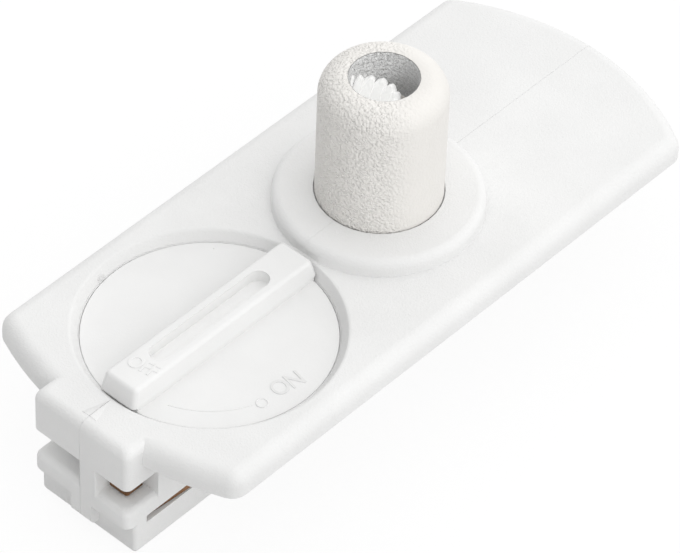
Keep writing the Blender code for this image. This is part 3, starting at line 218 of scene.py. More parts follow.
def bump(tree, height, strength, distance, before=None):
    node = add_node(tree, "ShaderNodeBump")
    node.inputs["Strength"].default_value = strength
    node.inputs["Distance"].default_value = distance
    tree.links.new(height, node.inputs["Height"])
    if before is not None:
        tree.links.new(before, node.inputs["Normal"])
    return node.outputs["Normal"]


def object_coordinates(tree):
    return add_node(tree, "ShaderNodeTexCoord").outputs["Object"]


def greys(stops):
    return tuple((place, (level,) * 3) for place, level in stops)


def between(tree, value, low, high, at_low, at_high, interpolation="SMOOTHSTEP"):
    """At_low up to low, at_high from high on, and a run between the two."""
    node = add_node(tree, "ShaderNodeMapRange", interpolation_type=interpolation)
    tree.links.new(value, node.inputs["Value"])
    for name, number in (("From Min", low), ("From Max", high), ("To Min", at_low), ("To Max", at_high)):
        node.inputs[name].default_value = number
    return node.outputs[0]


def product(tree, first, second):
    node = add_node(tree, "ShaderNodeMath", operation="MULTIPLY")
    tree.links.new(first, node.inputs[0])
    tree.links.new(second, node.inputs[1])
    return node.outputs[0]


def absolute(tree, value):
    node = add_node(tree, "ShaderNodeMath", operation="ABSOLUTE")
    tree.links.new(value, node.inputs[0])
    return node.outputs[0]


def colour_product(tree, first, second):
    node = add_node(tree, "ShaderNodeVectorMath", operation="MULTIPLY")
    tree.links.new(first, node.inputs[0])
    tree.links.new(second, node.inputs[1])
    return node.outputs[0]


def along(tree, place, direction):
    node = add_node(tree, "ShaderNodeVectorMath", operation="DOT_PRODUCT")
    tree.links.new(place, node.inputs[0])
    node.inputs[1].default_value = direction
    return node.outputs["Value"]


def flat_offset(tree, place, axis_x):
    """The vector from an upright axis to the place, seen in plan."""
    centred = add_node(tree, "ShaderNodeVectorMath", operation="SUBTRACT")
    tree.links.new(place, centred.inputs[0])
    centred.inputs[1].default_value = (axis_x, 0.0, 0.0)
    flat = add_node(tree, "ShaderNodeVectorMath", operation="MULTIPLY")
    tree.links.new(centred.outputs[0], flat.inputs[0])
    flat.inputs[1].default_value = (1.0, 1.0, 0.0)
    return flat.outputs[0]


def length_of(tree, vector):
    node = add_node(tree, "ShaderNodeVectorMath", operation="LENGTH")
    tree.links.new(vector, node.inputs[0])
    return node.outputs["Value"]


def axes_of(tree, place):
    node = add_node(tree, "ShaderNodeSeparateXYZ")
    tree.links.new(place, node.inputs[0])
    return node.outputs


def tint(tree, mask, tone):
    """Multiplies the base colour by the tone where the mask is 1."""
    base = tree.nodes["Principled BSDF"].inputs["Base Color"]
    before = base.links[0].from_socket
    scaled = add_node(tree, "ShaderNodeVectorMath", operation="SCALE")
    tree.links.new(before, scaled.inputs[0])
    scaled.inputs["Scale"].default_value = tone
    mix = add_node(tree, "ShaderNodeMix", data_type="RGBA")
    tree.links.new(mask, mix.inputs["Factor"])
    tree.links.new(before, mix.inputs["A"])
    tree.links.new(scaled.outputs[0], mix.inputs["B"])
    tree.links.new(mix.outputs["Result"], base)


def moulded_plastic(name, dark, light, roughness, grain_size, grain_depth):
    """Injection-moulded plastic: eroded grain, slight flow mottling and a soft gloss."""
    made, tree, shader = new_material(name)
    place = object_coordinates(tree)
    mottle = noise(tree, place, 1 / (9 * MM), 3.0)
    tree.links.new(ramp(tree, mottle, ((0.35, dark), (0.65, light))), shader.inputs["Base Color"])
    gloss = noise(tree, place, 1 / (4 * MM), 3.0)
    rough = ramp(tree, gloss, ((0.3, (roughness - 0.05,) * 3), (0.7, (roughness + 0.06,) * 3)))
    tree.links.new(rough, shader.inputs["Roughness"])
    waves = bump(tree, noise(tree, place, 1 / (6 * MM), 1.0), 0.25, 0.05 * MM)
    grain = noise(tree, place, 1 / grain_size, 2.0, 0.6)
    tree.links.new(bump(tree, grain, 0.6, grain_depth, waves), shader.inputs["Normal"])
    return made


def bare_cast_metal(tree, place, grit):
    """Turned cast metal inside the bore, with painted shade that darkens it toward the camera's right and
    further down.
    """
    cast = ramp(tree, grit, CAST_TONES)
    turning = add_node(tree, "ShaderNodeTexWave", wave_type="BANDS", bands_direction="Z")
    tree.links.new(place, turning.inputs["Vector"])
    turning.inputs["Scale"].default_value = TURNING_SCALE
    turning.inputs["Distortion"].default_value = 1.2
    lines = ramp(tree, turning.outputs["Fac"], greys(TURNING_TONES))
    # Painted shade inside the bore: darker toward the camera's right and lower down
    toward = along(tree, place, (CAMERA_RIGHT.x, CAMERA_RIGHT.y, BORE_SHADE_LEAN))
    painted_shade = between(tree, toward, *BORE_SHADE_SPAN, *BORE_SHADE_TONES)
    shaded = add_node(tree, "ShaderNodeVectorMath", operation="SCALE")
    tree.links.new(colour_product(tree, cast, lines), shaded.inputs[0])
    tree.links.new(painted_shade, shaded.inputs["Scale"])
    return shaded.outputs[0]


def crinkle(tree, place, across):
    """Fine crinkle of the coat, fading across the cover."""
    wander = add_node(tree, "ShaderNodeTexNoise")
    wander.inputs["Scale"].default_value = 1 / CRINKLE_WANDER_SIZE
    tree.links.new(place, wander.inputs["Vector"])
    bent = add_node(tree, "ShaderNodeVectorMath", operation="MULTIPLY_ADD")
    tree.links.new(wander.outputs["Color"], bent.inputs[0])
    bent.inputs[1].default_value = (CRINKLE_WANDER,) * 3
    tree.links.new(place, bent.inputs[2])
    cells = add_node(tree, "ShaderNodeTexVoronoi", feature="SMOOTH_F1")
    cells.inputs["Scale"].default_value = 1 / CRINKLE_CELL
    cells.inputs["Smoothness"].default_value = 0.7
    tree.links.new(bent.outputs[0], cells.inputs["Vector"])
    fade = between(tree, across, *CRINKLE_FADE_SPAN, *CRINKLE_FADE)
    return bump(tree, product(tree, cells.outputs["Distance"], fade), 1.0, -CRINKLE_DEPTH)


def powder_coat(name):
    """Warm white powder coat, chipped along the bore's edge, over bare cast metal inside the bore, with
    painted light and shade across the cover.
    """
    made, tree, shader = new_material(name)
    place = object_coordinates(tree)
    coat = ramp(tree, noise(tree, place, 1 / COAT_MOTTLE, 4.0), ((0.3, COAT_DARK), (0.7, COAT_LIGHT)))
    shift = add_node(tree, "ShaderNodeMath", operation="MULTIPLY_ADD")
    tree.links.new(noise(tree, place, 1 / CHIP_SIZE, 2.0), shift.inputs[0])
    shift.inputs[1].default_value = -CHIP_DEPTH
    tree.links.new(length_of(tree, flat_offset(tree, place, 0.0)), shift.inputs[2])
    edge = (COVER_BORE - CHIP_BLUR, COVER_BORE + CHIP_BLUR)
    coated = between(tree, shift.outputs[0], *edge, 0.0, 1.0, "LINEAR")
    grit = noise(tree, place, 1 / CAST_GRIT, 2.0, 0.7)
    mix = add_node(tree, "ShaderNodeMix", data_type="RGBA")
    tree.links.new(coated, mix.inputs["Factor"])
    tree.links.new(bare_cast_metal(tree, place, grit), mix.inputs["A"])
    tree.links.new(coat, mix.inputs["B"])
    line = add_node(tree, "ShaderNodeMix", data_type="RGBA", blend_type="MULTIPLY")
    line.inputs["Factor"].default_value = 1.0
    tree.links.new(mix.outputs["Result"], line.inputs["A"])
    tree.links.new(ramp(tree, coated, greys(CHIPPED_EDGE_TONES)), line.inputs["B"])
    across = along(tree, place, (CAMERA_RIGHT.x, CAMERA_RIGHT.y, 0.0))
    sweep = between(tree, across, -PAINTED_SHADING_HALF, PAINTED_SHADING_HALF, 0.0, 1.0, "LINEAR")
    tone = ramp(tree, sweep, greys(PAINTED_SHADING_TONES))
    tree.links.new(colour_product(tree, line.outputs["Result"], tone), shader.inputs["Base Color"])
    shader.inputs["Roughness"].default_value = 0.5
    inside = ramp(tree, coated, greys(((0.0, 1.0), (1.0, 0.0))))
    rough = bump(tree, product(tree, grit, inside), 0.5, CAST_ROUGHNESS, crinkle(tree, place, across))
    tree.links.new(rough, shader.inputs["Normal"])
    return made


def paint_slot_light():
    """Paints light into the slot of the grip bar: its inside is a little paler."""
    low, high = node_box("knob")
    tree = KNOB.node_tree
    place = object_coordinates(tree)
    offset = flat_offset(tree, place, (low.x + high.x) / 2)
    x, y, _ = axes_of(tree, offset)
    z = axes_of(tree, place)["Z"]
    near, far = SLOT_BLUR
    within = between(tree, absolute(tree, y), SLOT_HALF + near, SLOT_HALF + far, 1.0, 0.0)
    in_length = between(tree, absolute(tree, x), SLOT_REACH + near, SLOT_REACH + far, 1.0, 0.0)
    below = between(tree, z, high.z - SLOT_LIP[0], high.z - SLOT_LIP[1], 1.0, 0.0)
    floor_z = high.z - SLOT_DEPTH
    above = between(tree, z, floor_z - SLOT_UNDER[0], floor_z - SLOT_UNDER[1], 0.0, 1.0)
    tint(tree, product(tree, product(tree, within, in_length), product(tree, below, above)), SLOT_PAINTED_LIGHT)


def shade_recess():
    """Paints shade onto the recess rim: darker on the side that the camera sees at the right."""
    low, high = node_box("knob")
    tree = HOUSING.node_tree
    place = add_node(tree, "ShaderNodeNewGeometry").outputs["Position"]
    offset = flat_offset(tree, place, (low.x + high.x) / 2)
    rim = between(tree, length_of(tree, offset), RIM_OUTER - RIM_BLUR[0], RIM_OUTER + RIM_BLUR[1], 1.0, 0.0)
    side = between(tree, along(tree, offset, RIM_SIDE), *RIM_SIDE_SPAN, 0.0, 1.0)
    top = between(tree, axes_of(tree, place)["Z"], RIM_LOW_Z - RIM_FADE, RIM_LOW_Z, 0.0, 1.0)
    tint(tree, product(tree, product(tree, rim, side), top), RIM_PAINTED_SHADE)


def metal(name, dark, light, roughness, grain):
    made, tree, shader = new_material(name)
    place = object_coordinates(tree)
    stain = noise(tree, place, 1 / (2.5 * MM), 4.0)
    tree.links.new(ramp(tree, stain, ((0.3, dark), (0.7, light))), shader.inputs["Base Color"])
    shader.inputs["Metallic"].default_value = 1.0
    wear = noise(tree, place, 1 / grain, 3.0)
    rough = ramp(tree, wear, ((0.3, (roughness - 0.08,) * 3), (0.7, (roughness + 0.1,) * 3)))
    tree.links.new(rough, shader.inputs["Roughness"])
    tree.links.new(bump(tree, wear, 0.3, 0.02 * MM), shader.inputs["Normal"])
    return made


HOUSING = moulded_plastic("white_housing", (0.79, 0.79, 0.785), (0.82, 0.82, 0.815), 0.50, 0.22 * MM,
                          0.09 * MM)
# The ON lettering is a darker copy of the knob's plastic that it is moulded on: painted shade in place of the
# shading on its raised strokes
SHADED_LETTERS = moulded_plastic("shaded_white_letters", (0.745, 0.745, 0.74), (0.77, 0.77, 0.765), 0.45, 0.3 * MM,
                          0.02 * MM)
KNOB = moulded_plastic("white_knob", (0.80, 0.80, 0.795), (0.83, 0.83, 0.825), 0.42, 0.3 * MM, 0.02 * MM)
INNER = moulded_plastic("grey_inner", (0.55, 0.55, 0.54), (0.60, 0.60, 0.59), 0.5, 0.3 * MM, 0.03 * MM)
COLLET = moulded_plastic("white_nylon", (0.92, 0.92, 0.91), (0.95, 0.95, 0.94), 0.5, 0.3 * MM, 0.01 * MM)
# Painted light: the collet's plastic glows, though it gives off no light
glow_shader = COLLET.node_tree.nodes["Principled BSDF"]
glow_shader.inputs["Emission Color"].default_value = WHITE
glow_shader.inputs["Emission Strength"].default_value = COLLET_GLOW
COVER = powder_coat("warm_powder_coat")
COPPER = metal("copper", (0.12, 0.06, 0.03), (0.34, 0.18, 0.09), 0.42, 0.3 * MM)
BRASS = metal("brass", (0.66, 0.48, 0.20), (0.80, 0.62, 0.30), 0.34, 0.3 * MM)
STEEL = metal("zinc_steel", (0.50, 0.50, 0.51), (0.64, 0.64, 0.64), 0.36, 0.3 * MM)
BY_SLOT = {"housing": HOUSING, "knob": KNOB, "inner": INNER, "collet": COLLET, "cover": COVER,
           "copper": COPPER, "brass": BRASS, "steel": STEEL}


def dress_nodes():
    """Gives every CAD node the material of its slot."""
    for part in frame["record"]["subparts"]:
        node = frame["nodes"][part["node"]]
        node.data.materials.clear()
        node.data.materials.append(BY_SLOT[part["material_slot"]])


def edge_weights():
    """Node group that marks which edges are eased: none along the split, more round the tip's window."""
    group = bpy.data.node_groups.new("edge_weights", "GeometryNodeTree")
    group.interface.new_socket("Geometry", in_out="INPUT", socket_type="NodeSocketGeometry")
    group.interface.new_socket("Geometry", in_out="OUTPUT", socket_type="NodeSocketGeometry")
    source, sink = group.nodes.new("NodeGroupInput"), group.nodes.new("NodeGroupOutput")

    def compare(value, operation, limit):
        node = group.nodes.new("FunctionNodeCompare")
        node.data_type, node.operation = "FLOAT", operation
        node.inputs["B"].default_value = limit
        group.links.new(value, node.inputs["A"])
        return node.outputs[0]

    def combine(operation, first, second):
        node = group.nodes.new("ShaderNodeMath")
        node.operation = operation
        for socket, value in zip(node.inputs, (first, second)):
            if isinstance(value, float):
                socket.default_value = value
            else:
                group.links.new(value, socket)
        return node.outputs[0]

    place = group.nodes.new("GeometryNodeInputPosition")
    split = group.nodes.new("ShaderNodeSeparateXYZ")
    group.links.new(place.outputs[0], split.inputs[0])
    aside = combine("ABSOLUTE", split.outputs["Y"], 0.0)
    off_split = compare(aside, "GREATER_THAN", 2 * SEAM_HALF)
    angle = group.nodes.new("GeometryNodeInputMeshEdgeAngle")
    crisp = compare(angle.outputs["Unsigned Angle"], "GREATER_THAN", math.radians(38))
    at_tip = compare(split.outputs["X"], "LESS_THAN", WINDOW_END_X)
    low = compare(split.outputs["Z"], "LESS_THAN", WINDOW_TOP_Z)
    near = compare(split.outputs["Y"], "LESS_THAN", 0.0)
    window = combine("MULTIPLY", combine("MULTIPLY", at_tip, low), near)
    width = combine("ADD", combine("MULTIPLY", window, 1.0 - EASE_SHARE), EASE_SHARE)
    weight = combine("MULTIPLY", combine("MULTIPLY", off_split, crisp), width)
    store = group.nodes.new("GeometryNodeStoreNamedAttribute")
    store.data_type, store.domain = "FLOAT", "EDGE"
    store.inputs["Name"].default_value = "bevel_weight_edge"
    group.links.new(source.outputs[0], store.inputs["Geometry"])
    group.links.new(weight, store.inputs["Value"])
    group.links.new(store.outputs[0], sink.inputs[0])
    return group


def smooth_by_angle(limit_deg):
    """Node group that shades faces smooth and keeps edges above the limit sharp."""
    group = bpy.data.node_groups.new("smooth_by_angle", "GeometryNodeTree")
    group.interface.new_socket("Geometry", in_out="INPUT", socket_type="NodeSocketGeometry")
    group.interface.new_socket("Geometry", in_out="OUTPUT", socket_type="NodeSocketGeometry")
    source, sink = group.nodes.new("NodeGroupInput"), group.nodes.new("NodeGroupOutput")
    faces = group.nodes.new("GeometryNodeSetShadeSmooth")
    edges = group.nodes.new("GeometryNodeSetShadeSmooth")
    faces.domain, edges.domain = "FACE", "EDGE"
    angle = group.nodes.new("GeometryNodeInputMeshEdgeAngle")
    gentle = group.nodes.new("FunctionNodeCompare")
    gentle.data_type, gentle.operation = "FLOAT", "LESS_THAN"
    gentle.inputs["B"].default_value = math.radians(limit_deg)
    group.links.new(angle.outputs["Unsigned Angle"], gentle.inputs["A"])
    fresh = group.nodes.new("GeometryNodeRemoveAttribute")
    fresh.inputs["Name"].default_value = "custom_normal"
    group.links.new(source.outputs[0], fresh.inputs["Geometry"])
    group.links.new(fresh.outputs[0], faces.inputs["Geometry"])
    group.links.new(faces.outputs[0], edges.inputs["Geometry"])
    group.links.new(gentle.outputs[0], edges.inputs["Shade Smooth"])
    group.links.new(edges.outputs[0], sink.inputs[0])
    return group


SMOOTH = smooth_by_angle(34)
WEIGHTS = edge_weights()


def soften(node_name, width, segments):
    """Eases the moulded edges of a CAD node with modifiers; its own mesh stays as it is."""
    node = frame["nodes"][node_name]
    weld = node.modifiers.new("joined_faces", "WELD")
    weld.merge_threshold = WELD_DISTANCE
    flat = node.modifiers.new("flat_faces", "DECIMATE")
    flat.decimate_type = "DISSOLVE"
    flat.angle_limit = math.radians(0.6)
    weights = node.modifiers.new("edge_weights", "NODES")
    weights.node_group = WEIGHTS
    ease = node.modifiers.new("eased_edges", "BEVEL")
    ease.width = width / EASE_SHARE
    ease.segments = segments
    ease.limit_method = "WEIGHT"
    even = node.modifiers.new("smooth_rounds", "NODES")
    even.node_group = SMOOTH
    weigh = node.modifiers.new("weighted_normals", "WEIGHTED_NORMAL")
    weigh.keep_sharp = True
    weigh.weight = 50


def to_object(bm, name, material, smooth_deg=40.0):
    bmesh.ops.recalc_face_normals(bm, faces=bm.faces)
    mesh = bpy.data.meshes.new(name)
    bm.to_mesh(mesh)
    bm.free()
    mesh.materials.append(material)
    mesh.shade_smooth()
    mesh.set_sharp_from_angle(angle=math.radians(smooth_deg))
    made = bpy.data.objects.new(name, mesh)
    bpy.context.scene.collection.objects.link(made)
    return made


def arc(cx, cy, radius, start_deg, end_deg, steps):
    angles = [math.radians(start_deg + (end_deg - start_deg) * i / steps) for i in range(steps + 1)]
    return [(cx + radius * math.cos(a), cy + radius * math.sin(a)) for a in angles]


def turned(name, profile, material, segments, centre):
    """A closed (radius, z) profile turned about the vertical axis through centre."""
    bm = bmesh.new()
    ring = [bm.verts.new((r, 0.0, z)) for r, z in profile]
    edges = [bm.edges.new((ring[i], ring[(i + 1) % len(ring)])) for i in range(len(ring))]
    bmesh.ops.spin(bm, geom=ring + edges, cent=(0, 0, 0), axis=(0, 0, 1), angle=2 * math.pi, steps=segments,
                   use_merge=True)
    bmesh.ops.remove_doubles(bm, verts=bm.verts, dist=0.0005 * MM)
    made = to_object(bm, name, material, 50.0)
    made.location = centre
    return made


def node_box(name):
    low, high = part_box(name)
    return Vector(low), Vector(high)


def make_cover():
    """Domed screw cover with a sharp bore edge, coated outside and bare cast metal inside."""
    low, high = node_box("grip_cover")
    radius = (high.x - low.x) / 2
    height = high.z - low.z
    lip_z = height - COVER_LIP
    profile = arc(radius - COVER_DOME, height - COVER_DOME, COVER_DOME, 90, 0, 14)
    profile += [(radius, height * f) for f in (0.6, 0.4, 0.2)]
    profile += arc(radius - COVER_EASE, COVER_EASE, COVER_EASE, 0, -90, 4)
    profile += [(radius - COVER_WALL, 0.0), (radius - COVER_WALL, lip_z - COVER_CONE)]
    profile += [(COVER_BORE + COVER_LIP_EASE, lip_z), (COVER_BORE, lip_z), (COVER_BORE, height - COVER_EASE)]
    profile += arc(COVER_BORE + COVER_BORE_EASE, height - COVER_BORE_EASE, COVER_BORE_EASE, 180, 90, 3)
    cover = turned("screw_cover", profile, COVER, 144, ((low.x + high.x) / 2, 0.0, low.z))
    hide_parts("grip_cover")
    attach(cover, "cover")


def make_collet():
    """Ribbed fingers of the cord collet, leaning to the camera's left under the bore as in the photo."""
    low, high = node_box("cord_collet")
    centre = Vector(((low.x + high.x) / 2, 0.0, 0.0))
    lean = Vector((-CAMERA_RIGHT.x, -CAMERA_RIGHT.y, 0.0)).normalized()
    bm = bmesh.new()
    across = [-1.0, -0.85, -0.5, 0.0, 0.5, 0.85, 1.0]
    for i in range(COLLET_FINGERS):
        angle = 2 * math.pi * (i + 0.5) / COLLET_FINGERS
        out = Vector((math.cos(angle), math.sin(angle), 0.0))
        top = COLLET_TIP_Z + COLLET_RISE * max(0.0, out.dot(lean)) ** 2
        sheets = []
        for face in (0, 1):
            rows = []
            for depth, radius, shift, width in COLLET_LEVELS:
                row = []
                for u in across:
                    turn = angle + math.pi / COLLET_FINGERS * width * u + COLLET_TWIST * depth
                    away = Vector((math.cos(turn), math.sin(turn), 0.0))
                    rib = COLLET_RIB * (1 - u * u) * (1 if face else -1)
                    thick = face * COLLET_FINGER_DEPTH * min(1.0, 0.45 + depth) + rib
                    place = centre + away * (radius * MM + thick) + lean * (shift * MM)
                    place.z = top - depth * MM - COLLET_TIP_ROUND * (u * u) * max(0.0, 1 - depth / 0.9)
                    row.append(bm.verts.new(place))
                rows.append(row)
            sheets.append(rows)
        inner, outer = sheets
        last = len(across) - 1
        for a in range(len(COLLET_LEVELS) - 1):
            for k in range(last):
                bm.faces.new((inner[a][k], inner[a][k + 1], inner[a + 1][k + 1], inner[a + 1][k]))
                bm.faces.new((outer[a][k], outer[a + 1][k], outer[a + 1][k + 1], outer[a][k + 1]))
            for k in (0, last):
                bm.faces.new((inner[a][k], inner[a + 1][k], outer[a + 1][k], outer[a][k]))
        for k in range(last):
            for a in (0, len(COLLET_LEVELS) - 1):
                bm.faces.new((inner[a][k], outer[a][k], outer[a][k + 1], inner[a][k + 1]))
    fingers = to_object(bm, "collet_fingers", COLLET, 60.0)
    smooth = fingers.modifiers.new("rounded", "SUBSURF")
    smooth.levels = 2
    smooth.render_levels = 2
    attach(fingers, "housing")
    outer_radius, sleeve_top = COLLET_SLEEVE / 2, high.z - COLLET_SLEEVE_DROP
    inner_radius = COLLET_SLEEVE / 2 - COLLET_SLEEVE_WALL
    sleeve_profile = [(outer_radius, sleeve_top), (outer_radius, low.z), (inner_radius, low.z),
                      (inner_radius, sleeve_top)]
    sleeve = turned("collet_sleeve", sleeve_profile, COLLET, 72, centre)
    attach(sleeve, "housing")
    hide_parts("cord_collet")


def raised_text(name, words, place, reading, letter_height, stroke, material):
    """Raised lettering on the knob, reading along a direction in plan."""
    curve = bpy.data.curves.new(name, "FONT")
    curve.body = words
    curve.align_x = "CENTER"
    curve.align_y = "CENTER"
    curve.size = letter_height / LETTER_CAP_SHARE
    curve.space_character = LETTER_SPACING
    curve.extrude = LETTER_HEIGHT
    curve.offset = stroke
    curve.bevel_depth = LETTER_BEVEL
    curve.bevel_resolution = 1
    curve.resolution_u = 6
    pattern = bpy.data.objects.new(name + "_curve", curve)
    bpy.context.scene.collection.objects.link(pattern)
    bpy.context.view_layer.update()
    mesh = bpy.data.meshes.new_from_object(pattern.evaluated_get(bpy.context.evaluated_depsgraph_get()))
    bpy.data.objects.remove(pattern, do_unlink=True)
    made = bpy.data.objects.new(name, mesh)
    turn = Matrix.Rotation(math.atan2(reading[1], reading[0]), 4, "Z")
    mesh.transform(Matrix.Translation(place) @ turn @ Matrix.Diagonal((LETTER_NARROW, 1.0, 1.0, 1.0)))
    mesh.materials.clear()
    mesh.materials.append(material)
    bpy.context.scene.collection.objects.link(made)
    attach(made, "rotor")


def tube(name, points, radius, material, closed=False):
    """A thin ridge along a line of points."""
    curve = bpy.data.curves.new(name, "CURVE")
    curve.dimensions = "3D"
    curve.bevel_depth = radius
    curve.bevel_resolution = 2
    curve.use_fill_caps = True
    spline = curve.splines.new("POLY")
    spline.points.add(len(points) - 1)
    for point, place in zip(spline.points, points):
        point.co = (*place, 1.0)
    spline.use_cyclic_u = closed
    made = bpy.data.objects.new(name, curve)
    curve.materials.append(material)
    bpy.context.scene.collection.objects.link(made)
    return made


def make_knob_marks():
    """ON and OFF, the turning arc with its ring, and the gate mark on the disc."""
    low, high = node_box("knob")
    knob = Vector(((low.x + high.x) / 2, 0.0, 0.0))
    disc_z = high.z - BAR_RISE
    off_place = knob + Vector((OFF_X, OFF_Y, high.z))
    on_place = knob + Vector((ON_X, ON_Y, disc_z))
    raised_text("lettering_off", "OFF", off_place, OFF_READING, OFF_SIZE, OFF_STROKE, KNOB)
    raised_text("lettering_on", "ON", on_place, ON_READING, ON_SIZE, ON_STROKE, SHADED_LETTERS)
    line = [knob + Vector((x, y, disc_z)) for x, y in arc(0, 0, ARC_RADIUS, ARC_START_DEG, ARC_END_DEG, 24)]
    ridge = tube("turning_arc", line, ARC_RIDGE, KNOB)
    ring = [knob + Vector((x, y, disc_z)) for x, y in arc(RING_X, RING_Y, RING_RADIUS, 0, 345, 23)]
    mark = tube("on_ring", ring, RING_RIDGE, KNOB, closed=True)
    bm = bmesh.new()
    bmesh.ops.create_uvsphere(bm, u_segments=12, v_segments=8, radius=GATE_RADIUS)
    gate = to_object(bm, "gate_mark", KNOB, 60.0)
    gate.scale = (1.0, 1.0, GATE_FLATNESS)
    gate.location = knob + Vector((GATE_X, GATE_Y, disc_z))
    for piece in (ridge, mark, gate):
        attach(piece, "rotor")


def make_arrow():
    """Raised pointer on the tip, facing the knob."""
    low, high = node_box("knob")
    knob_x = (low.x + high.x) / 2
    for side in (-1, 1):
        bm = bmesh.new()
        near_x, apex_x = knob_x + ARROW_BASE_X, knob_x + ARROW_APEX_X
        wing = side * ARROW_HALF
        crown_wing = side * (ARROW_HALF - 3 * ARROW_SLOPE)
        plan = [(near_x, side * SEAM_HALF), (near_x - ARROW_SWEEP, wing), (apex_x, side * SEAM_HALF)]
        crown = [(near_x, side * SEAM_HALF), (near_x - ARROW_SWEEP / 2, crown_wing),
                 (apex_x - 3 * ARROW_SLOPE, side * SEAM_HALF)]
        bottom = [bm.verts.new((x, y, PLATE_TOP_Z - ARROW_ROOT)) for x, y in plan]
        top = [bm.verts.new((x, y, PLATE_TOP_Z + ARROW_HEIGHT)) for x, y in crown]
        bm.faces.new(bottom)
        bm.faces.new(top)
        for k in range(3):
            bm.faces.new((bottom[k], bottom[(k + 1) % 3], top[(k + 1) % 3], top[k]))
        arrow = to_object(bm, "pointer_left" if side > 0 else "pointer_right", HOUSING)
        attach(arrow, "housing")


def outline_links(bm):
    """Neighbours of each point on the split face's outline, each with the way into the face."""
    flat = {f for f in bm.faces if abs(f.normal.y) > 0.999 and abs(f.calc_center_median().y) < 2 * SEAM_HALF}
    links = {}
    for face in [f for f in bm.faces if f in flat]:
        middle = face.calc_center_median()
        for edge in face.edges:
            if sum(other in flat for other in edge.link_faces) != 1:
                continue
            a, b = (Vector((v.co.x, v.co.z)) for v in edge.verts)
            run = (b - a).normalized()
            inward = Vector((-run.y, run.x))
            if inward.dot(Vector((middle.x, middle.z)) - a) < 0:
                inward = -inward
            for one, two in (edge.verts, reversed(edge.verts)):
                links.setdefault(one, []).append((two, inward))
    return links


def outline_loops(links):
    """The outline's points in order, one list for each closed loop."""
    loops, left = [], dict.fromkeys(links)
    while left:
        start = next(iter(left))
        del left[start]
        loop, here, before = [start], start, None
        while True:
            onward = [two for two, _ in links[here] if two is not before and (two in left or two is start)]
            if not onward or (onward[0] is start and len(loop) > 2):
                break
            before, here = here, onward[0]
            left.pop(here, None)
            loop.append(here)
        loops.append(loop)
    return loops


def make_seam():
    """Thin strip just below the surface in the gap between the halves, so that the split stays faint."""
    bm = bmesh.new()
    bm.from_mesh(frame["nodes"]["housing_left"].data)
    bmesh.ops.remove_doubles(bm, verts=bm.verts, dist=WELD_DISTANCE)
    links = outline_links(bm)
    made = bmesh.new()
    for loop in outline_loops(links):
        if max(v.co.z for v in loop) < PLATE_TOP_Z - SEAM_REACH_SLACK:
            continue
        rings = []
        for vert in loop:
            inward = sum((way for _, way in links[vert]), Vector((0.0, 0.0)))
            ways = len(links[vert])
            inward = inward / max(SEAM_MITRE_LIMIT * ways, inward.length_squared / ways)
            corners = []
            front = vert.co.x < SEAM_FRONT_X and vert.co.z < PLATE_TOP_Z - SEAM_FRONT_DROP
            sink = SEAM_SINK_FRONT if front else SEAM_SINK
            for depth, y in ((sink, -1), (sink, 1), (SEAM_DEPTH, 1), (SEAM_DEPTH, -1)):
                spot = Vector((vert.co.x, vert.co.z)) + inward * depth
                corners.append(made.verts.new((spot.x, y * SEAM_FILL, spot.y)))
            rings.append(corners)
        for k, ring in enumerate(rings):
            onward = rings[(k + 1) % len(rings)]
            for c in range(4):
                made.faces.new((ring[c], ring[(c + 1) % 4], onward[(c + 1) % 4], onward[c]))
    bm.free()
    strip = to_object(made, "seam_strip", HOUSING, 30.0)
    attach(strip, "housing")


def make_recess_details():
    """Pale bottom of the gap round the disc, and the small nub on the recess rim."""
    low, high = node_box("knob")
    knob = Vector(((low.x + high.x) / 2, 0.0, 0.0))
    top = high.z - BAR_RISE - GAP_SINK
    bottom = top - GAP_THICK
    profile = [(GAP_INNER, bottom), (GAP_OUTER, bottom), (GAP_OUTER, top), (GAP_INNER, top)]
    floor = turned("recess_gap", profile, HOUSING, 128, knob)
    bm = bmesh.new()
    bmesh.ops.create_uvsphere(bm, u_segments=20, v_segments=12, radius=1.0)
    nub = to_object(bm, "recess_nub", HOUSING, 60.0)
    nub.scale = NUB_SIZE
    nub.location = knob + Vector((NUB_X, NUB_Y, NUB_Z))
    nub.rotation_euler = (0.0, 0.0, math.atan2(NUB_Y, NUB_X) - math.pi / 2)
    for piece in (floor, nub):
        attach(piece, "housing")


def seen_directly(tree):
    """1 for camera, glossy and transmission rays, 0 for the rays that carry light."""
    path = add_node(tree, "ShaderNodeLightPath")
    both = add_node(tree, "ShaderNodeMath", operation="MAXIMUM")
    tree.links.new(path.outputs["Is Camera Ray"], both.inputs[0])
    tree.links.new(path.outputs["Is Glossy Ray"], both.inputs[1])
    every = add_node(tree, "ShaderNodeMath", operation="MAXIMUM")
    tree.links.new(both.outputs[0], every.inputs[0])
    tree.links.new(path.outputs["Is Transmission Ray"], every.inputs[1])
    return every.outputs[0]


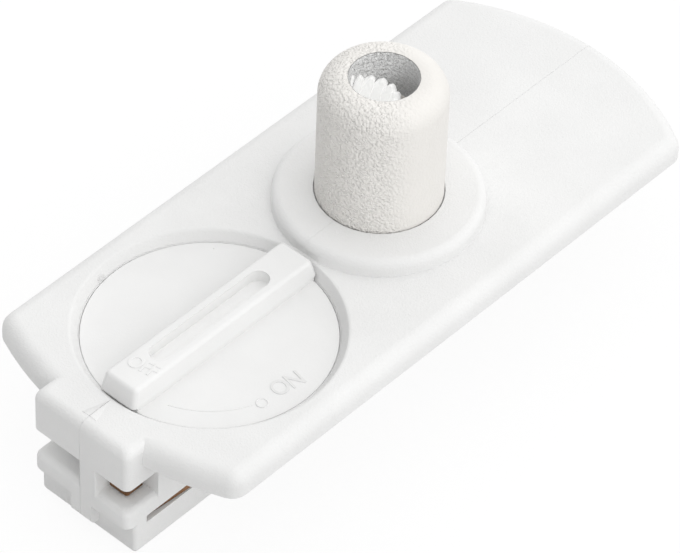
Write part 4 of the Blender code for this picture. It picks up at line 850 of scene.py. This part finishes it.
def make_floor():
    """Plain pale floor: white to the eye, greyer as a bounce, and it keeps a soft shadow."""
    bm = bmesh.new()
    bmesh.ops.create_grid(bm, x_segments=1, y_segments=1, size=FLOOR_HALF)
    mesh = bpy.data.meshes.new("floor")
    bm.to_mesh(mesh)
    bm.free()
    floor = bpy.data.objects.new("floor", mesh)
    floor.location.z = -FLOOR_DROP
    bpy.context.scene.collection.objects.link(floor)
    made, tree, shader = new_material("pale_floor")
    shader.inputs["Roughness"].default_value = 1.0
    shader.inputs["Specular IOR Level"].default_value = 0.0
    seen = seen_directly(tree)
    tone = ramp(tree, seen, greys(((0.0, FLOOR_BOUNCE), (1.0, 1.0))))
    tree.links.new(tone, shader.inputs["Base Color"])
    share = add_node(tree, "ShaderNodeMath", operation="MULTIPLY")
    tree.links.new(seen, share.inputs[0])
    share.inputs[1].default_value = FLOOR_GLOW
    glow = add_node(tree, "ShaderNodeEmission")
    mix = add_node(tree, "ShaderNodeMixShader")
    tree.links.new(share.outputs[0], mix.inputs[0])
    tree.links.new(shader.outputs[0], mix.inputs[1])
    tree.links.new(glow.outputs[0], mix.inputs[2])
    tree.links.new(mix.outputs[0], tree.nodes["Material Output"].inputs["Surface"])
    mesh.materials.append(made)


def make_world():
    """White to the eye; as light, a soft tent that is brighter at the front right and dimmer past the tip."""
    world = bpy.data.worlds.new("studio")
    world.use_nodes = True
    tree = world.node_tree
    back = tree.nodes["Background"]
    back.inputs["Color"].default_value = WHITE
    way = add_node(tree, "ShaderNodeTexCoord")
    tent = add_node(tree, "ShaderNodeMath", operation="MULTIPLY_ADD")
    tree.links.new(along(tree, way.outputs["Generated"], TENT_BRIGHT_SIDE), tent.inputs[0])
    tent.inputs[1].default_value = TENT_SLOPE
    tent.inputs[2].default_value = TENT_LEVEL
    toward = along(tree, way.outputs["Generated"], FLAG_SIDE)
    flag = between(tree, toward, *FLAG_SPAN, 0.0, FLAG_DEPTH)
    flagged = add_node(tree, "ShaderNodeMath", operation="SUBTRACT")
    tree.links.new(tent.outputs[0], flagged.inputs[0])
    tree.links.new(flag, flagged.inputs[1])
    path = add_node(tree, "ShaderNodeLightPath")
    strength = add_node(tree, "ShaderNodeMix", data_type="FLOAT")
    tree.links.new(path.outputs["Is Camera Ray"], strength.inputs["Factor"])
    tree.links.new(flagged.outputs[0], strength.inputs["A"])
    strength.inputs["B"].default_value = 1.0
    tree.links.new(strength.outputs["Result"], back.inputs["Strength"])
    bpy.context.scene.world = world


def area_lamp(name, direction, distance, size, power):
    """Square soft lamp that shines at the object from a direction in the camera's own axes."""
    right, up, back = CAMERA_RIGHT, CAMERA_UP, CAMERA_RIGHT.cross(CAMERA_UP)
    way = (right * direction[0] + up * direction[1] + back * direction[2]).normalized()
    lamp = bpy.data.lights.new(name, "AREA")
    lamp.size = size
    lamp.energy = power
    made = bpy.data.objects.new(name, lamp)
    made.location = way * distance
    made.rotation_euler = way.to_track_quat("Z", "Y").to_euler()
    bpy.context.scene.collection.objects.link(made)


def make_camera():
    back = CAMERA_RIGHT.cross(CAMERA_UP)
    turn = Matrix((CAMERA_RIGHT, CAMERA_UP, back)).transposed()
    lens = bpy.data.cameras.new("camera")
    lens.sensor_fit = "HORIZONTAL"
    lens.sensor_width = SENSOR_WIDTH
    lens.lens = CAMERA_LENS
    lens.clip_start = 0.01
    camera = bpy.data.objects.new("camera", lens)
    camera.matrix_world = Matrix.Translation(CAMERA_PLACE) @ turn.to_4x4()
    bpy.context.scene.collection.objects.link(camera)
    bpy.context.scene.camera = camera


dress_nodes()
paint_slot_light()
shade_recess()
for half in ("housing_left", "housing_right"):
    soften(half, 0.12 * MM, 2)
soften("knob", 0.15 * MM, 3)
make_cover()
make_collet()
make_knob_marks()
make_arrow()
make_seam()
make_recess_details()
make_floor()
make_world()
area_lamp("key", KEY_SIDE, KEY_DISTANCE, KEY_SIZE, KEY_POWER)
make_camera()
bpy.context.scene.view_settings.view_transform = "Standard"
